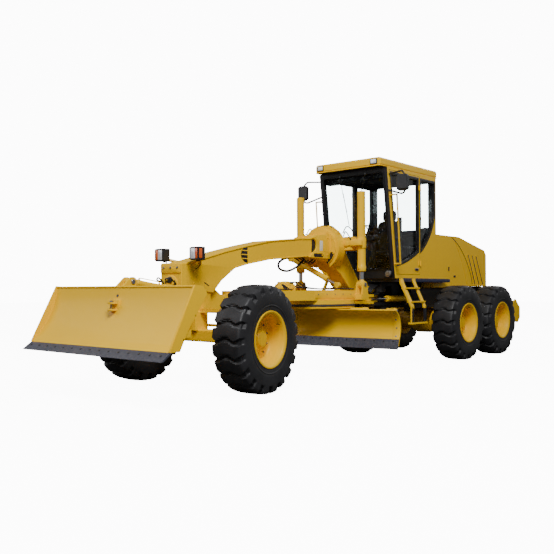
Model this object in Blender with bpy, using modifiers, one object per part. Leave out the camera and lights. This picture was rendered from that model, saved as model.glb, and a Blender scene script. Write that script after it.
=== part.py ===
# Motor grader: an articulated frame on six wheels with a blade hung from a turning circle,
# a small dozer blade in front and a ripper behind. Metres, +Z up, ground at z = 0.
# -Y is forward and +X is the driver's left. The origin is on the ground at mid length and width.
import math

import bmesh
import bpy
from mathutils import Matrix, Vector

# Overall sizes
WHEELBASE = 6.22  # front axle to the middle of the tandem
FRONT_REACH = 1.70  # front axle to the dozer blade's cutting edge
REAR_REACH = 2.33  # tandem middle to the back of the ripper
TRACK = 2.18  # between the wheel centre planes
CAB_HEIGHT = 3.47
GAP = 0.0003  # between pieces that touch
RUN = 0.0008  # between pieces that slide or turn on each other
BORE_START = 0.04  # from a cylinder's pin to the bottom of its bore

FRONT_Y = FRONT_REACH - (FRONT_REACH + WHEELBASE + REAR_REACH) / 2
TANDEM_Y = FRONT_Y + WHEELBASE
PIVOT_Y = TANDEM_Y - 2.02  # the articulation hinge
REAR_END_Y = TANDEM_Y + 1.55  # the rear frame's end plate

# Wheels
TYRE_R = 0.67
TYRE_W = 0.445
SEAT_R = 0.32  # where the tyre sits on the rim
FLANGE_R = 0.352
RIM_W = 0.43
WHEEL_SIDES = 20
HUB_INSET = 0.08  # wheel centre plane to the hub's inner face
WHEEL_X = TRACK / 2
TANDEM_PITCH = 1.48

# Front axle and steering
KINGPIN_X = WHEEL_X - 0.29
KINGPIN_R = 0.045
REST_STEER = math.radians(7.5)
AXLE_Z = TYRE_R
BEAM_LOW, BEAM_HIGH = 0.60, 0.76
TIE_ARM = 0.26  # kingpin back to the tie rod
TIE_Z = 0.80
TIE_R = 0.02

# Front frame
NOSE_Y = FRONT_Y - 0.40
NOSE_HALF = 0.20
KEEL_HALF = 0.15
BEAM_HALF = 0.17
BALL_Y = FRONT_Y + 0.42
BALL_Z = 1.10
BOSS_R = 0.16
BOSS_LOW, BOSS_HIGH = 1.05, 1.33
FORK_T = 0.06
LAMP_X, LAMP_Y, LAMP_Z = 0.338, FRONT_Y - 0.25, 1.737

# Saddle and lift cylinders
SADDLE_Y = FRONT_Y + 2.93
SADDLE_Z = 1.95
SADDLE_R = 0.36
LIFT_X = 0.62
LIFT_Y = FRONT_Y + 3.05
TRUNNION_Z = 2.01
LIFT_TOP_Z, LIFT_GLAND_Z = 2.84, 1.56
LIFT_EYE_Z = 1.35
LIFT_BARREL_R, LIFT_ROD_R = 0.065, 0.034
SHIFT_BASE = Vector((-0.52, SADDLE_Y - 0.24, 1.79))
SHIFT_EYE = Vector((0.41, SADDLE_Y - 0.24, 1.34))

# Drawbar, circle and blade
DRAWBAR_LOW, DRAWBAR_HIGH = 1.11, 1.26
DRAWBAR_HALF = 0.56
CIRCLE_Y = FRONT_Y + 2.45
CIRCLE_R, CIRCLE_HOLE_R = 0.74, 0.56
CIRCLE_LOW = 0.99
BLADE_YAW = math.radians(6)
BLADE_LENGTH = 3.35
BLADE_SHIFT = -0.046  # the blade's middle, from the circle's centre
BLADE_LOW, BLADE_TOP = 0.41, 0.97
BLADE_BASE = -0.19  # cutting edge, ahead of the circle's centre
EDGE_H, EDGE_T = 0.15, 0.018
MOLD_T = 0.024
MOLD_BOW = 0.10
RAIL_BACK = 0.03
ARM_X, ARM_HALF = 0.50, 0.035
SIDE_CYL_Y, SIDE_CYL_Z = 0.09, 0.955
SIDE_BARREL_R, SIDE_ROD_R = 0.04, 0.022

# Dozer blade
DOZER_HALF = 1.335
DOZER_EDGE_Y, DOZER_EDGE_Z = 0.125, 0.09  # the cutting edge's reach ahead of and below the plate
DOZER_LOW = Vector((FRONT_Y - FRONT_REACH + DOZER_EDGE_Y, 0.625))  # the plate's lower edge, (y, z)
DOZER_TOP = Vector((FRONT_Y - 1.21, 1.31))
DOZER_BOW = 0.07
DOZER_T = 0.03
DOZER_PIN = Vector((0, FRONT_Y - 0.46, 0.78))
DOZER_ARM_X, DOZER_ARM_HALF = 0.22, 0.05
DOZER_CYL_BASE = Vector((0, FRONT_Y - 0.50, 1.29))
DOZER_CYL_EYE = Vector((0, FRONT_Y - 1.06, 1.375))

# Rear frame, cab and hood
RAIL_X, RAIL_HALF = 0.39, 0.05
RAIL_LOW, RAIL_HIGH = 0.93, 1.30
DECK_LOW, DECK_HIGH = 1.40, 1.4597
CAB_LOW = DECK_HIGH + GAP
CAB_HALF = 0.70
CAB_WALL = 0.05
CAB_FRONT_LOW_Y = PIVOT_Y - 0.26
CAB_LEAN = 0.24  # how far the cab's top front is ahead of its bottom front
CAB_REAR_Y = PIVOT_Y + 1.20
CAB_TOP = CAB_HEIGHT - 0.15
FLOOR_T = 0.06
DOOR_GAP = 0.006
POST_Y = PIVOT_Y + 0.585  # the door's hinge post
GLASS_T = 0.008
KNUCKLE_R = 0.015
HOOD_HALF = 0.62
HOOD_FRONT_Y = CAB_REAR_Y + 0.03
HOOD_REAR_Y = TANDEM_Y + 1.53
HOOD_LOW = RAIL_HIGH + GAP
HOOD_TOP = 2.30
HOOD_SKIN = 0.03
LID_LIFT = 0.03  # the tilting hood's lower edge, above the fixed hood's
ART_REAR = Vector((0.42, PIVOT_Y + 0.60, 1.11))
ART_FRONT = Vector((0.38, PIVOT_Y - 0.60, 1.11))
ART_BARREL_R, ART_ROD_R = 0.05, 0.026
SMALL_BARREL_R, SMALL_ROD_R = 0.045, 0.024

# Tandem
CASE_IN, CASE_OUT = 0.60, 0.845
CASE_LOW, CASE_HIGH = 0.46, 0.88
AXLE_HOUSING_R = 0.16

# Ripper
RIPPER_PIN = Vector((0, REAR_END_Y + 0.09, 0.86))
RIPPER_HALF = 1.02
RIPPER_ARM_X, RIPPER_ARM_HALF = 0.30, 0.04
RIPPER_BEAM_Y = TANDEM_Y + 2.08
RIPPER_CYL_BASE = Vector((0, REAR_END_Y + 0.08, 1.24))
RIPPER_CYL_EYE = Vector((0, TANDEM_Y + 2.03, 0.98))

YELLOW = (0.80, 0.47, 0.02)
DARK = (0.03, 0.03, 0.035)
STEEL = (0.16, 0.17, 0.19)
CHROME = (0.75, 0.75, 0.76)
GLASS = (0.30, 0.36, 0.38)
RUBBER = (0.025, 0.025, 0.027)


def clear_scene():
    for thing in list(bpy.data.objects):
        bpy.data.objects.remove(thing, do_unlink=True)


def new_collection(name):
    made = bpy.data.collections.new(name)
    bpy.context.scene.collection.children.link(made)
    return made


def tool(name, mesh):
    # A shape that starts among the cutters; node() moves the first of its shapes to the parts.
    made = bpy.data.objects.new(name, mesh)
    CUTTERS.objects.link(made)
    made.hide_render = True
    made.display_type = "WIRE"
    return made


def box(low, high, bevel=0.0):
    low, high = Vector(low), Vector(high)
    mesh = bpy.data.meshes.new("box")
    shape = bmesh.new()
    size = Matrix.Diagonal((high - low).to_4d())
    size[3][3] = 1
    bmesh.ops.create_cube(shape, size=1, matrix=Matrix.Translation((low + high) / 2) @ size)
    if bevel:
        bmesh.ops.bevel(shape, geom=shape.edges[:], offset=bevel, segments=1, affect="EDGES")
    shape.to_mesh(mesh)
    shape.free()
    return tool("box", mesh)


def pair_x(low, high):
    # The same box on both sides of the centreline.
    left = box(low, high)
    right = box((-high[0], low[1], low[2]), (-low[0], high[1], high[2]))
    return [left, right]


def cylinder(start, end, radius, sides=16):
    start, end = Vector(start), Vector(end)
    along = end - start
    mesh = bpy.data.meshes.new("cylinder")
    shape = bmesh.new()
    turn = along.to_track_quat("Z", "Y").to_matrix().to_4x4()
    bmesh.ops.create_cone(
        shape,
        cap_ends=True,
        segments=sides,
        radius1=radius,
        radius2=radius,
        depth=along.length,
        matrix=Matrix.Translation((start + end) / 2) @ turn,
    )
    shape.to_mesh(mesh)
    shape.free()
    return tool("cylinder", mesh)


def meshed(curve_object):
    # A curve as a mesh, with its caps welded on, ready for Booleans.
    bpy.context.view_layer.update()
    seen = curve_object.evaluated_get(bpy.context.evaluated_depsgraph_get())
    mesh = bpy.data.meshes.new_from_object(seen)
    shape = bmesh.new()
    shape.from_mesh(mesh)
    bmesh.ops.remove_doubles(shape, verts=shape.verts, dist=0.00005)
    bmesh.ops.recalc_face_normals(shape, faces=shape.faces)
    shape.to_mesh(mesh)
    shape.free()
    made = tool("shape", mesh)
    made.matrix_world = curve_object.matrix_world.copy()
    bpy.data.objects.remove(curve_object, do_unlink=True)
    return made


PLANES = {
    "XY": Matrix(((1, 0, 0, 0), (0, 1, 0, 0), (0, 0, 1, 0), (0, 0, 0, 1))),
    "YZ": Matrix(((0, 0, 1, 0), (1, 0, 0, 0), (0, 1, 0, 0), (0, 0, 0, 1))),
    "XZ": Matrix(((1, 0, 0, 0), (0, 0, -1, 0), (0, 1, 0, 0), (0, 0, 0, 1))),
}
NORMALS = {"XY": Vector((0, 0, 1)), "YZ": Vector((1, 0, 0)), "XZ": Vector((0, 1, 0))}


def plate(plane, outline, low, high):
    # A flat outline in one plane, reaching from low to high along the plane's normal.
    curve = bpy.data.curves.new("outline", "CURVE")
    curve.dimensions = "2D"
    curve.fill_mode = "BOTH"
    curve.extrude = (high - low) / 2
    line = curve.splines.new("POLY")
    line.points.add(len(outline) - 1)
    for point, (a, b) in zip(line.points, outline):
        point.co = (a, b, 0, 1)
    line.use_cyclic_u = True
    made = bpy.data.objects.new("outline", curve)
    CUTTERS.objects.link(made)
    made.matrix_world = Matrix.Translation(NORMALS[plane] * (low + high) / 2) @ PLANES[plane]
    return meshed(made)


def pipe(points, radius, resolution=2):
    curve = bpy.data.curves.new("pipe", "CURVE")
    curve.dimensions = "3D"
    curve.bevel_depth = radius
    curve.bevel_resolution = resolution
    curve.use_fill_caps = True
    line = curve.splines.new("POLY")
    line.points.add(len(points) - 1)
    for point, place in zip(line.points, points):
        point.co = (*place, 1)
    made = bpy.data.objects.new("pipe", curve)
    CUTTERS.objects.link(made)
    return meshed(made)


def lathe(profile, centre, closed, flip=1):
    # A profile of (radius, distance along X) turned about X through the centre. Radii are to the
    # middle of each flat, and one flat faces down. flip -1 mirrors the shape in the wheel's plane.
    grow = 1 / math.cos(math.pi / WHEEL_SIDES)
    mesh = bpy.data.meshes.new("turned")
    points = [(r * grow, 0, h * flip) for r, h in (profile if flip > 0 else reversed(profile))]
    edges = [(i, i + 1) for i in range(len(points) - 1)]
    if closed:
        edges.append((len(points) - 1, 0))
    mesh.from_pydata(points, edges, [])
    made = tool("turned", mesh)
    screw = made.modifiers.new("turn", "SCREW")
    screw.steps = screw.render_steps = WHEEL_SIDES
    screw.use_merge_vertices = True
    screw.merge_threshold = 0.00001
    made.rotation_mode = "ZYX"
    made.rotation_euler = (0, math.pi / 2, math.pi / WHEEL_SIDES)
    made.location = centre
    return made


def arc(start, end, bow, count=8):
    # Points on a circle through two points, bowed by that much to the right of the way there.
    start, end = Vector(start), Vector(end)
    chord = end - start
    half = chord.length / 2
    radius = (half * half + bow * bow) / (2 * abs(bow))
    side = Vector((chord.y, -chord.x)).normalized() * math.copysign(1, bow)
    centre = (start + end) / 2 - side * (radius - abs(bow))
    reach = math.asin(min(1, half / radius))
    along = chord.normalized()
    points = []
    for i in range(count + 1):
        angle = reach * (2 * i / count - 1)
        points.append(tuple(centre + side * radius * math.cos(angle) + along * radius * math.sin(angle)))
    return points


def round_end(centre, radius, first, last, count=8):
    # Points on an arc about a centre, from one angle to another, in degrees.
    steps = [math.radians(first + (last - first) * i / count) for i in range(count + 1)]
    return [(centre[0] + radius * math.cos(a), centre[1] + radius * math.sin(a)) for a in steps]


def shifted(points, a, b):
    return [(p[0] + a, p[1] + b) for p in points]


def hinge(body, place, parent=None):
    # An empty on the body's joint, under the empty of the body that carries it.
    empty = bpy.data.objects.new(body + "_joint", None)
    empty.empty_display_size = 0.2
    PARTS.objects.link(empty)
    if parent:
        empty.parent = JOINTS[parent]
        bpy.context.view_layer.update()
        empty.location = JOINTS[parent].matrix_world.inverted() @ Vector(place)
    else:
        empty.location = place
    bpy.context.view_layer.update()
    JOINTS[body] = empty


def node(name, body, look, add, cut=()):
    # One named part: the first shape, with the other shapes joined to it and the cutters taken away.
    colour, rough, metal = look
    made = add[0]
    made.name = name
    made.data.name = name
    CUTTERS.objects.unlink(made)
    PARTS.objects.link(made)
    made.hide_render = False
    made.display_type = "TEXTURED"
    for shapes, operation in ((add[1:], "UNION"), (cut, "DIFFERENCE")):
        for shape in shapes:
            step = made.modifiers.new(operation.lower(), "BOOLEAN")
            step.operation = operation
            step.solver = "EXACT"
            step.object = shape
    paint = bpy.data.materials.new(name)
    paint.use_nodes = True
    shader = paint.node_tree.nodes["Principled BSDF"]
    shader.inputs["Base Color"].default_value = (*colour, 1)
    shader.inputs["Roughness"].default_value = rough
    shader.inputs["Metallic"].default_value = metal
    made.data.materials.append(paint)
    for shape in (*add, *cut):
        shape.parent = JOINTS[body]
        shape.matrix_parent_inverse = JOINTS[body].matrix_world.inverted()
    return made


PAINT = (YELLOW, 0.38, 0.0)
BLACK = (DARK, 0.5, 0.0)
WEAR_STEEL = (STEEL, 0.45, 0.8)
PLATED = (CHROME, 0.15, 1.0)
PANE = (GLASS, 0.05, 0.0)
TYRE = (RUBBER, 0.85, 0.0)


def eye_half(barrel_r):
    # Half the length of a barrel's pin boss, just longer than the barrel is wide.
    return barrel_r + 0.003


def barrel_and_rod(name, body, base, eye, barrel_length, radii, rod_inside, rod_eye_half, tail=0.0):
    # A hydraulic cylinder from the barrel's pin at base to the rod's eye. The bore is open at the
    # gland, and the rod reaches rod_inside into it. tail is how far the barrel goes behind its pin.
    barrel_r, rod_r = radii
    along = (eye - base).normalized()
    cross = Vector((1, 0, 0)) if abs(along.x) < 0.1 else Vector((0, 1, 0))
    if abs(along.z) < 0.05:
        cross = Vector((0, 0, 1))
    gland = base + along * barrel_length
    shell = [cylinder(base - along * tail, gland, barrel_r)]
    if not tail:
        reach = cross * eye_half(barrel_r)
        shell.append(cylinder(base - reach, base + reach, barrel_r + 0.012))
    bore = cylinder(base + along * (BORE_START - tail), gland + along * 0.05, rod_r + RUN)
    node(name + "_barrel", body + "_barrel", PAINT, shell, [bore])
    stem = cylinder(gland - along * rod_inside, eye, rod_r)
    end = cylinder(eye - cross * rod_eye_half, eye + cross * rod_eye_half, rod_r + 0.024)
    node(name + "_rod", body + "_rod", PLATED, [stem, end])


def wheel(name, body, centre):
    side = math.copysign(1, centre[0])
    half = RIM_W / 2
    tread = TYRE_R
    ring = [
        (tread, 0.18),
        (tread, -0.18),
        (0.56, -TYRE_W / 2),
        (0.44, -TYRE_W / 2),
        (SEAT_R + GAP, -half + 0.02),
        (SEAT_R + GAP, half - 0.02),
        (0.44, TYRE_W / 2),
        (0.56, TYRE_W / 2),
    ]
    rim = [
        (0, 0.075),
        (0.11, 0.075),
        (0.12, 0.0),
        (0.27, 0.0),
        (0.30, half),
        (FLANGE_R, half),
        (SEAT_R, half - 0.018),
        (SEAT_R, -half + 0.018),
        (FLANGE_R, -half),
        (0.30, -half),
        (0.27, -HUB_INSET),
        (0, -HUB_INSET),
    ]
    node("tyre_" + name, body, TYRE, [lathe(ring, centre, True, side)])
    node("rim_" + name, body, PAINT, [lathe(rim, centre, False, side)])


def rear_frame():
    middle = PIVOT_Y + 0.35
    shapes = [box((-0.26, middle, BOSS_LOW - RUN - FORK_T), (0.26, PIVOT_Y + 0.80, DECK_LOW + 0.02))]
    for low in (BOSS_LOW - RUN - FORK_T, BOSS_HIGH + RUN):
        fork = [(0.26, middle + 0.1), (-0.26, middle + 0.1), (-0.26, middle)]
        fork += [(-BOSS_R, PIVOT_Y)] + round_end((0, PIVOT_Y), BOSS_R, 180, 360)[1:-1]
        fork += [(BOSS_R, PIVOT_Y), (0.26, middle)]
        shapes.append(plate("XY", fork, low, low + FORK_T))
    art_gap = eye_half(ART_BARREL_R) + RUN
    for low in (ART_REAR.z - art_gap - 0.04, ART_REAR.z + art_gap):
        lug = [(-0.50, ART_REAR.y - 0.06), (0.50, ART_REAR.y - 0.06)]
        lug += [(0.50, ART_REAR.y + 0.22), (-0.50, ART_REAR.y + 0.22)]
        shapes.append(plate("XY", lug, low, low + 0.04))
    shapes += pair_x(
        (RAIL_X - RAIL_HALF, PIVOT_Y + 0.72, RAIL_LOW), (RAIL_X + RAIL_HALF, REAR_END_Y - 0.02, RAIL_HIGH)
    )
    inner = RAIL_X - RAIL_HALF + 0.02
    shapes.append(box((-inner, PIVOT_Y + 0.76, RAIL_LOW + 0.01), (inner, PIVOT_Y + 0.86, DECK_LOW + 0.03)))
    shapes.append(box((-inner, TANDEM_Y - 0.09, RAIL_LOW + 0.01), (inner, TANDEM_Y + 0.09, RAIL_LOW + 0.08)))
    post = RAIL_HALF - 0.01
    seat_z = AXLE_Z + AXLE_HOUSING_R
    shapes += pair_x((RAIL_X - post, TANDEM_Y - 0.07, seat_z + GAP), (RAIL_X + post, TANDEM_Y + 0.07, RAIL_LOW + 0.05))
    lid_seat = HOOD_LOW + LID_LIFT - GAP
    shapes.append(box((-0.50, REAR_END_Y - 0.04, 0.72), (0.50, REAR_END_Y, lid_seat)))
    deck = [
        (0.76, CAB_FRONT_LOW_Y + 0.05),
        (0.76, CAB_REAR_Y + 0.42),
        (HOOD_HALF + 0.012, CAB_REAR_Y + 0.42),
        (HOOD_HALF + 0.012, CAB_REAR_Y),
    ]
    deck += [(-x, y) for x, y in reversed(deck)]
    shapes.append(plate("XY", deck, DECK_LOW, DECK_HIGH))
    shapes += pair_x(
        (RAIL_X - post, PIVOT_Y + 0.74, RAIL_HIGH - 0.1), (RAIL_X + post, PIVOT_Y + 1.12, DECK_LOW + 0.04)
    )
    for side in (-1, 1):
        for offset in (-1, 1):
            edge = side * RIPPER_ARM_X + offset * (RIPPER_ARM_HALF + RUN)
            low, high = sorted((edge, edge + offset * 0.03))
            ear = [(REAR_END_Y - 0.02, RIPPER_PIN.z - 0.09), (RIPPER_PIN.y, RIPPER_PIN.z - 0.09)]
            ear += round_end((RIPPER_PIN.y, RIPPER_PIN.z), 0.09, -90, 90, 6)[1:-1]
            ear += [(RIPPER_PIN.y, RIPPER_PIN.z + 0.09), (REAR_END_Y - 0.02, RIPPER_PIN.z + 0.09)]
            shapes.append(plate("YZ", ear, low, high))
    for side in (-1, 1):
        inner = eye_half(SMALL_BARREL_R) + RUN
        low, high = sorted((side * inner, side * (inner + 0.03)))
        ear = [(REAR_END_Y - 0.02, RIPPER_CYL_BASE.z - 0.07), (RIPPER_CYL_BASE.y, RIPPER_CYL_BASE.z - 0.07)]
        ear += round_end((RIPPER_CYL_BASE.y, RIPPER_CYL_BASE.z), 0.07, -90, 90, 6)[1:-1]
        ear += [(RIPPER_CYL_BASE.y, RIPPER_CYL_BASE.z + 0.07), (REAR_END_Y - 0.02, RIPPER_CYL_BASE.z + 0.07)]
        shapes.append(plate("YZ", ear, low, high))
    node("rear_frame", "rear", BLACK, shapes)


def tandem():
    cases = []
    wheels_y = (TANDEM_Y - TANDEM_PITCH / 2, TANDEM_Y + TANDEM_PITCH / 2)
    middle_z = (CASE_LOW + CASE_HIGH) / 2
    radius = (CASE_HIGH - CASE_LOW) / 2
    outline = round_end((wheels_y[0] + 0.03, middle_z), radius, 90, 270)
    outline += round_end((wheels_y[1] - 0.03, middle_z), radius, -90, 90)
    for side in (-1, 1):
        low, high = sorted((side * CASE_IN, side * CASE_OUT))
        cases.append(plate("YZ", outline, low, high))
        for y in wheels_y:
            hub_x = side * (WHEEL_X - HUB_INSET - RUN)
            cases.append(cylinder((side * (CASE_IN + 0.05), y, AXLE_Z), (hub_x, y, AXLE_Z), 0.12))
    ends = CASE_IN + 0.05
    housing = cylinder((-ends, TANDEM_Y, AXLE_Z), (ends, TANDEM_Y, AXLE_Z), AXLE_HOUSING_R)
    node("tandem_axle", "rear", BLACK, [housing, *cases])


def cab_side():
    # The cab's side outline, (y, z).
    top_y = CAB_FRONT_LOW_Y - CAB_LEAN
    return [(CAB_FRONT_LOW_Y, CAB_LOW), (CAB_REAR_Y, CAB_LOW), (CAB_REAR_Y, CAB_TOP), (top_y, CAB_TOP)]


def cab_front_y(z):
    return CAB_FRONT_LOW_Y - CAB_LEAN * (z - CAB_LOW) / (CAB_TOP - CAB_LOW)


DOOR_LOW, DOOR_TOP = CAB_LOW + FLOOR_T + 0.012, CAB_TOP - 0.05
SILL_FRONT_Z, SILL_REAR_Z = 1.70, 1.95  # the glass's lower edge at the front and at the hinge post


def door_outline(grow):
    # The door's own outline, or its opening's when grown by the gap.
    return [
        (cab_front_y(DOOR_LOW) + 0.06 - grow, DOOR_LOW - grow),
        (POST_Y - DOOR_GAP + grow, DOOR_LOW - grow),
        (POST_Y - DOOR_GAP + grow, DOOR_TOP + grow),
        (cab_front_y(DOOR_TOP) + 0.06 - grow, DOOR_TOP + grow),
    ]


def door_window():
    front = cab_front_y(SILL_FRONT_Z) + 0.11
    rear = POST_Y - 0.055
    top = DOOR_TOP - 0.05
    sill = arc((front, SILL_FRONT_Z), (rear, SILL_REAR_Z), 0.03, 6)
    return sill + [(rear, top), (cab_front_y(top) + 0.11, top)]


def quarter_window():
    front, rear = POST_Y + 0.05, CAB_REAR_Y - 0.07
    top = DOOR_TOP - 0.05
    sill = arc((front, SILL_REAR_Z + 0.02), (rear, 2.62), 0.07, 6)
    return sill + [(rear, top), (front, top)]


def cab():
    outer = plate("YZ", cab_side(), -CAB_HALF, CAB_HALF)
    floor, above = CAB_LOW + FLOOR_T, CAB_TOP + 0.1
    hollow = [(cab_front_y(floor) + CAB_WALL, floor), (CAB_REAR_Y - CAB_WALL, floor)]
    hollow += [(CAB_REAR_Y - CAB_WALL, above), (cab_front_y(above) + CAB_WALL, above)]
    inner = CAB_HALF - CAB_WALL
    cuts = [
        plate("YZ", hollow, -inner, inner),
        plate("YZ", door_outline(DOOR_GAP), -CAB_HALF - 0.1, CAB_HALF + 0.1),
        plate("YZ", quarter_window(), -CAB_HALF - 0.1, CAB_HALF + 0.1),
        box((-0.61, CAB_FRONT_LOW_Y - 0.5, 1.62), (0.61, CAB_FRONT_LOW_Y + 0.15, CAB_TOP - 0.09)),
        box((-0.56, CAB_REAR_Y - 0.2, 2.38), (0.56, CAB_REAR_Y + 0.2, CAB_TOP - 0.09)),
    ]
    rails = []
    for side in (-1, 1):
        x = side * 0.84
        wall = side * (CAB_HALF - 0.02)
        low_y, high_y = cab_front_y(1.70) - 0.03, cab_front_y(2.85) + 0.02
        path = [(wall, cab_front_y(1.70) + 0.03, 1.70), (x, low_y, 1.70), (x, high_y, 2.85)]
        path.append((wall, cab_front_y(2.85) + 0.03, 2.85))
        rails.append(pipe(path, 0.017))
        arm_y = cab_front_y(3.05) + 0.03
        arm = [(wall, arm_y, 3.20), (side * 0.98, arm_y - 0.06, 3.22), (side * 1.04, arm_y - 0.08, 3.16)]
        arm += [(side * 1.04, arm_y - 0.08, 2.86), (side * 0.98, arm_y - 0.06, 2.84), (wall, arm_y, 2.93)]
        rails.append(pipe(arm, 0.011))
        low, high = sorted((side * 0.93, side * 1.13))
        rails.append(box((low, arm_y - 0.16, 2.90), (high, arm_y - 0.075, 3.13), 0.012))
    node("cab_body", "rear", PAINT, [outer, *rails], cuts)
    roof = box((-0.67, CAB_FRONT_LOW_Y - 0.41, CAB_TOP + GAP), (0.67, CAB_REAR_Y + 0.12, CAB_HEIGHT), 0.03)
    node("cab_roof", "rear", PAINT, [roof])
    glass_inset = CAB_WALL + GAP
    low, high = 1.56, CAB_TOP - 0.05
    pane = [
        (cab_front_y(low) + glass_inset, low),
        (cab_front_y(low) + glass_inset + GLASS_T, low),
        (cab_front_y(high) + glass_inset + GLASS_T, high),
        (cab_front_y(high) + glass_inset, high),
    ]
    pane_half = CAB_HALF - CAB_WALL - GAP
    node("windshield", "rear", PANE, [plate("YZ", pane, -pane_half, pane_half)])
    start, rear = POST_Y + 0.02, CAB_REAR_Y - glass_inset
    shell = [(pane_half, start), (pane_half, rear), (-pane_half, rear), (-pane_half, start)]
    shell += [(-pane_half + GLASS_T, start), (-pane_half + GLASS_T, rear - GLASS_T)]
    shell += [(pane_half - GLASS_T, rear - GLASS_T), (pane_half - GLASS_T, start)]
    node("rear_glass", "rear", PANE, [plate("XY", shell, 1.92, high)])


def cab_inside():
    floor = CAB_LOW + FLOOR_T + GAP
    y = PIVOT_Y + 0.52
    seat = [
        box((-0.16, y - 0.16, floor), (0.16, y + 0.16, floor + 0.32)),
        box((-0.26, y - 0.26, floor + 0.30), (0.26, y + 0.24, floor + 0.46), 0.03),
        box((-0.25, y + 0.14, floor + 0.42), (0.25, y + 0.27, floor + 1.02), 0.03),
        box((-0.13, y + 0.17, floor + 0.98), (0.13, y + 0.25, floor + 1.22), 0.02),
    ]
    node("seat", "rear", BLACK, seat)
    column_y = PIVOT_Y - 0.02
    console = [
        box((-0.17, column_y - 0.10, floor), (0.17, column_y + 0.08, floor + 0.62), 0.01),
        box((-0.24, column_y - 0.13, floor + 0.60), (0.24, column_y + 0.06, floor + 0.72), 0.02),
    ]
    wheel_low = Vector((0, column_y + 0.02, floor + 0.70))
    wheel_top = Vector((0, column_y + 0.09, floor + 0.82))
    console.append(cylinder(wheel_low, wheel_top, 0.02, 10))
    aim = (wheel_top - wheel_low).normalized()
    console.append(cylinder(wheel_top - aim * 0.012, wheel_top + aim * 0.012, 0.19, 20))
    node("steering_console", "rear", BLACK, console)


def door(side, name):
    hinge_x = side * (CAB_HALF + KNUCKLE_R * math.cos(math.pi / 10) + RUN)
    body = "door_" + name
    hinge(body, (hinge_x, POST_Y + 0.005, 0), "rear")
    low, high = sorted((side * (CAB_HALF - 0.045), side * CAB_HALF))
    panel = plate("YZ", door_outline(0), low, high)
    window = plate("YZ", door_window(), low - 0.05, high + 0.05)
    knuckles = []
    for z in (DOOR_LOW + 0.15, DOOR_TOP - 0.25):
        pin = (hinge_x, POST_Y + 0.005)
        knuckles.append(cylinder((*pin, z), (*pin, z + 0.10), KNUCKLE_R, 10))
        leaf = sorted((side * (CAB_HALF - 0.01), side * (CAB_HALF + 0.012)))
        knuckles.append(box((leaf[0], POST_Y - 0.06, z + 0.01), (leaf[1], POST_Y - 0.0045, z + 0.09)))
        arm = sorted((side * (CAB_HALF + 0.004), side * (CAB_HALF + 0.012)))
        knuckles.append(box((arm[0], POST_Y - 0.02, z + 0.01), (arm[1], POST_Y + 0.004, z + 0.09)))
    node(body, body, PAINT, [panel, *knuckles], [window])
    grown = sorted((side * (CAB_HALF - 0.045 - GAP), side * (CAB_HALF - 0.045 - GAP - GLASS_T)))
    pane = door_window()
    middle = (sum(p[0] for p in pane) / len(pane), sum(p[1] for p in pane) / len(pane))
    pane = [((p[0] - middle[0]) * 1.03 + middle[0], (p[1] - middle[1]) * 1.02 + middle[1]) for p in pane]
    node("door_glass_" + name, body, PANE, [plate("YZ", pane, *grown)])


def ladder(side, name):
    shapes = []
    top_z, bend_z = DECK_LOW + 0.03, 0.97
    for y in (CAB_FRONT_LOW_Y + 0.06, PIVOT_Y + 0.24):
        top_x = side * 0.7 + side * 0.06 + side * RUN
        stile = [
            (top_x, DECK_HIGH),
            (top_x, DECK_LOW - 0.02),
            (side * 0.97, bend_z),
            (side * 0.97, 0.70),
            (side * 1.00, 0.70),
            (side * 1.00, bend_z + 0.01),
            (top_x + side * 0.03, DECK_LOW),
            (top_x + side * 0.03, DECK_HIGH),
        ]
        shapes.append(plate("XZ", stile, y - 0.025, y + 0.025))
    low_y, high_y = CAB_FRONT_LOW_Y + 0.05, PIVOT_Y + 0.25
    for share in (0.30, 0.80):
        z = top_z + (bend_z - top_z) * share
        x = side * (0.775 + (0.985 - 0.775) * share)
        low, high = sorted((x - side * 0.05, x + side * 0.05))
        shapes.append(box((low, low_y, z - 0.012), (high, high_y, z + 0.012)))
    low, high = sorted((side * 0.93, side * 1.02))
    shapes.append(box((low, low_y - 0.02, 0.69), (high, high_y + 0.02, 0.72)))
    node("ladder_" + name, "rear", BLACK, shapes)


def hood_side(inset):
    low = HOOD_LOW - (0.1 if inset else 0)
    flat_end = HOOD_FRONT_Y + 1.05
    points = [(HOOD_FRONT_Y + inset, low), (HOOD_REAR_Y - inset, low), (HOOD_REAR_Y - inset, 1.98 - inset)]
    points += [(HOOD_REAR_Y - 0.09 - inset / 2, 2.08 - inset), (flat_end, HOOD_TOP - inset)]
    points.append((HOOD_FRONT_Y + inset, HOOD_TOP - inset))
    return points


def seam(offset):
    # The curved line where the tilting rear hood meets the fixed front part, then out behind it.
    top, low = (HOOD_FRONT_Y + 0.70 + offset, HOOD_TOP + 0.1), (HOOD_FRONT_Y + 1.50 + offset, HOOD_LOW - 0.2)
    line = arc(top, low, -0.10, 8)
    return line + [(HOOD_REAR_Y + 0.5, HOOD_LOW - 0.2), (HOOD_REAR_Y + 0.5, HOOD_TOP + 0.1)]


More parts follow.
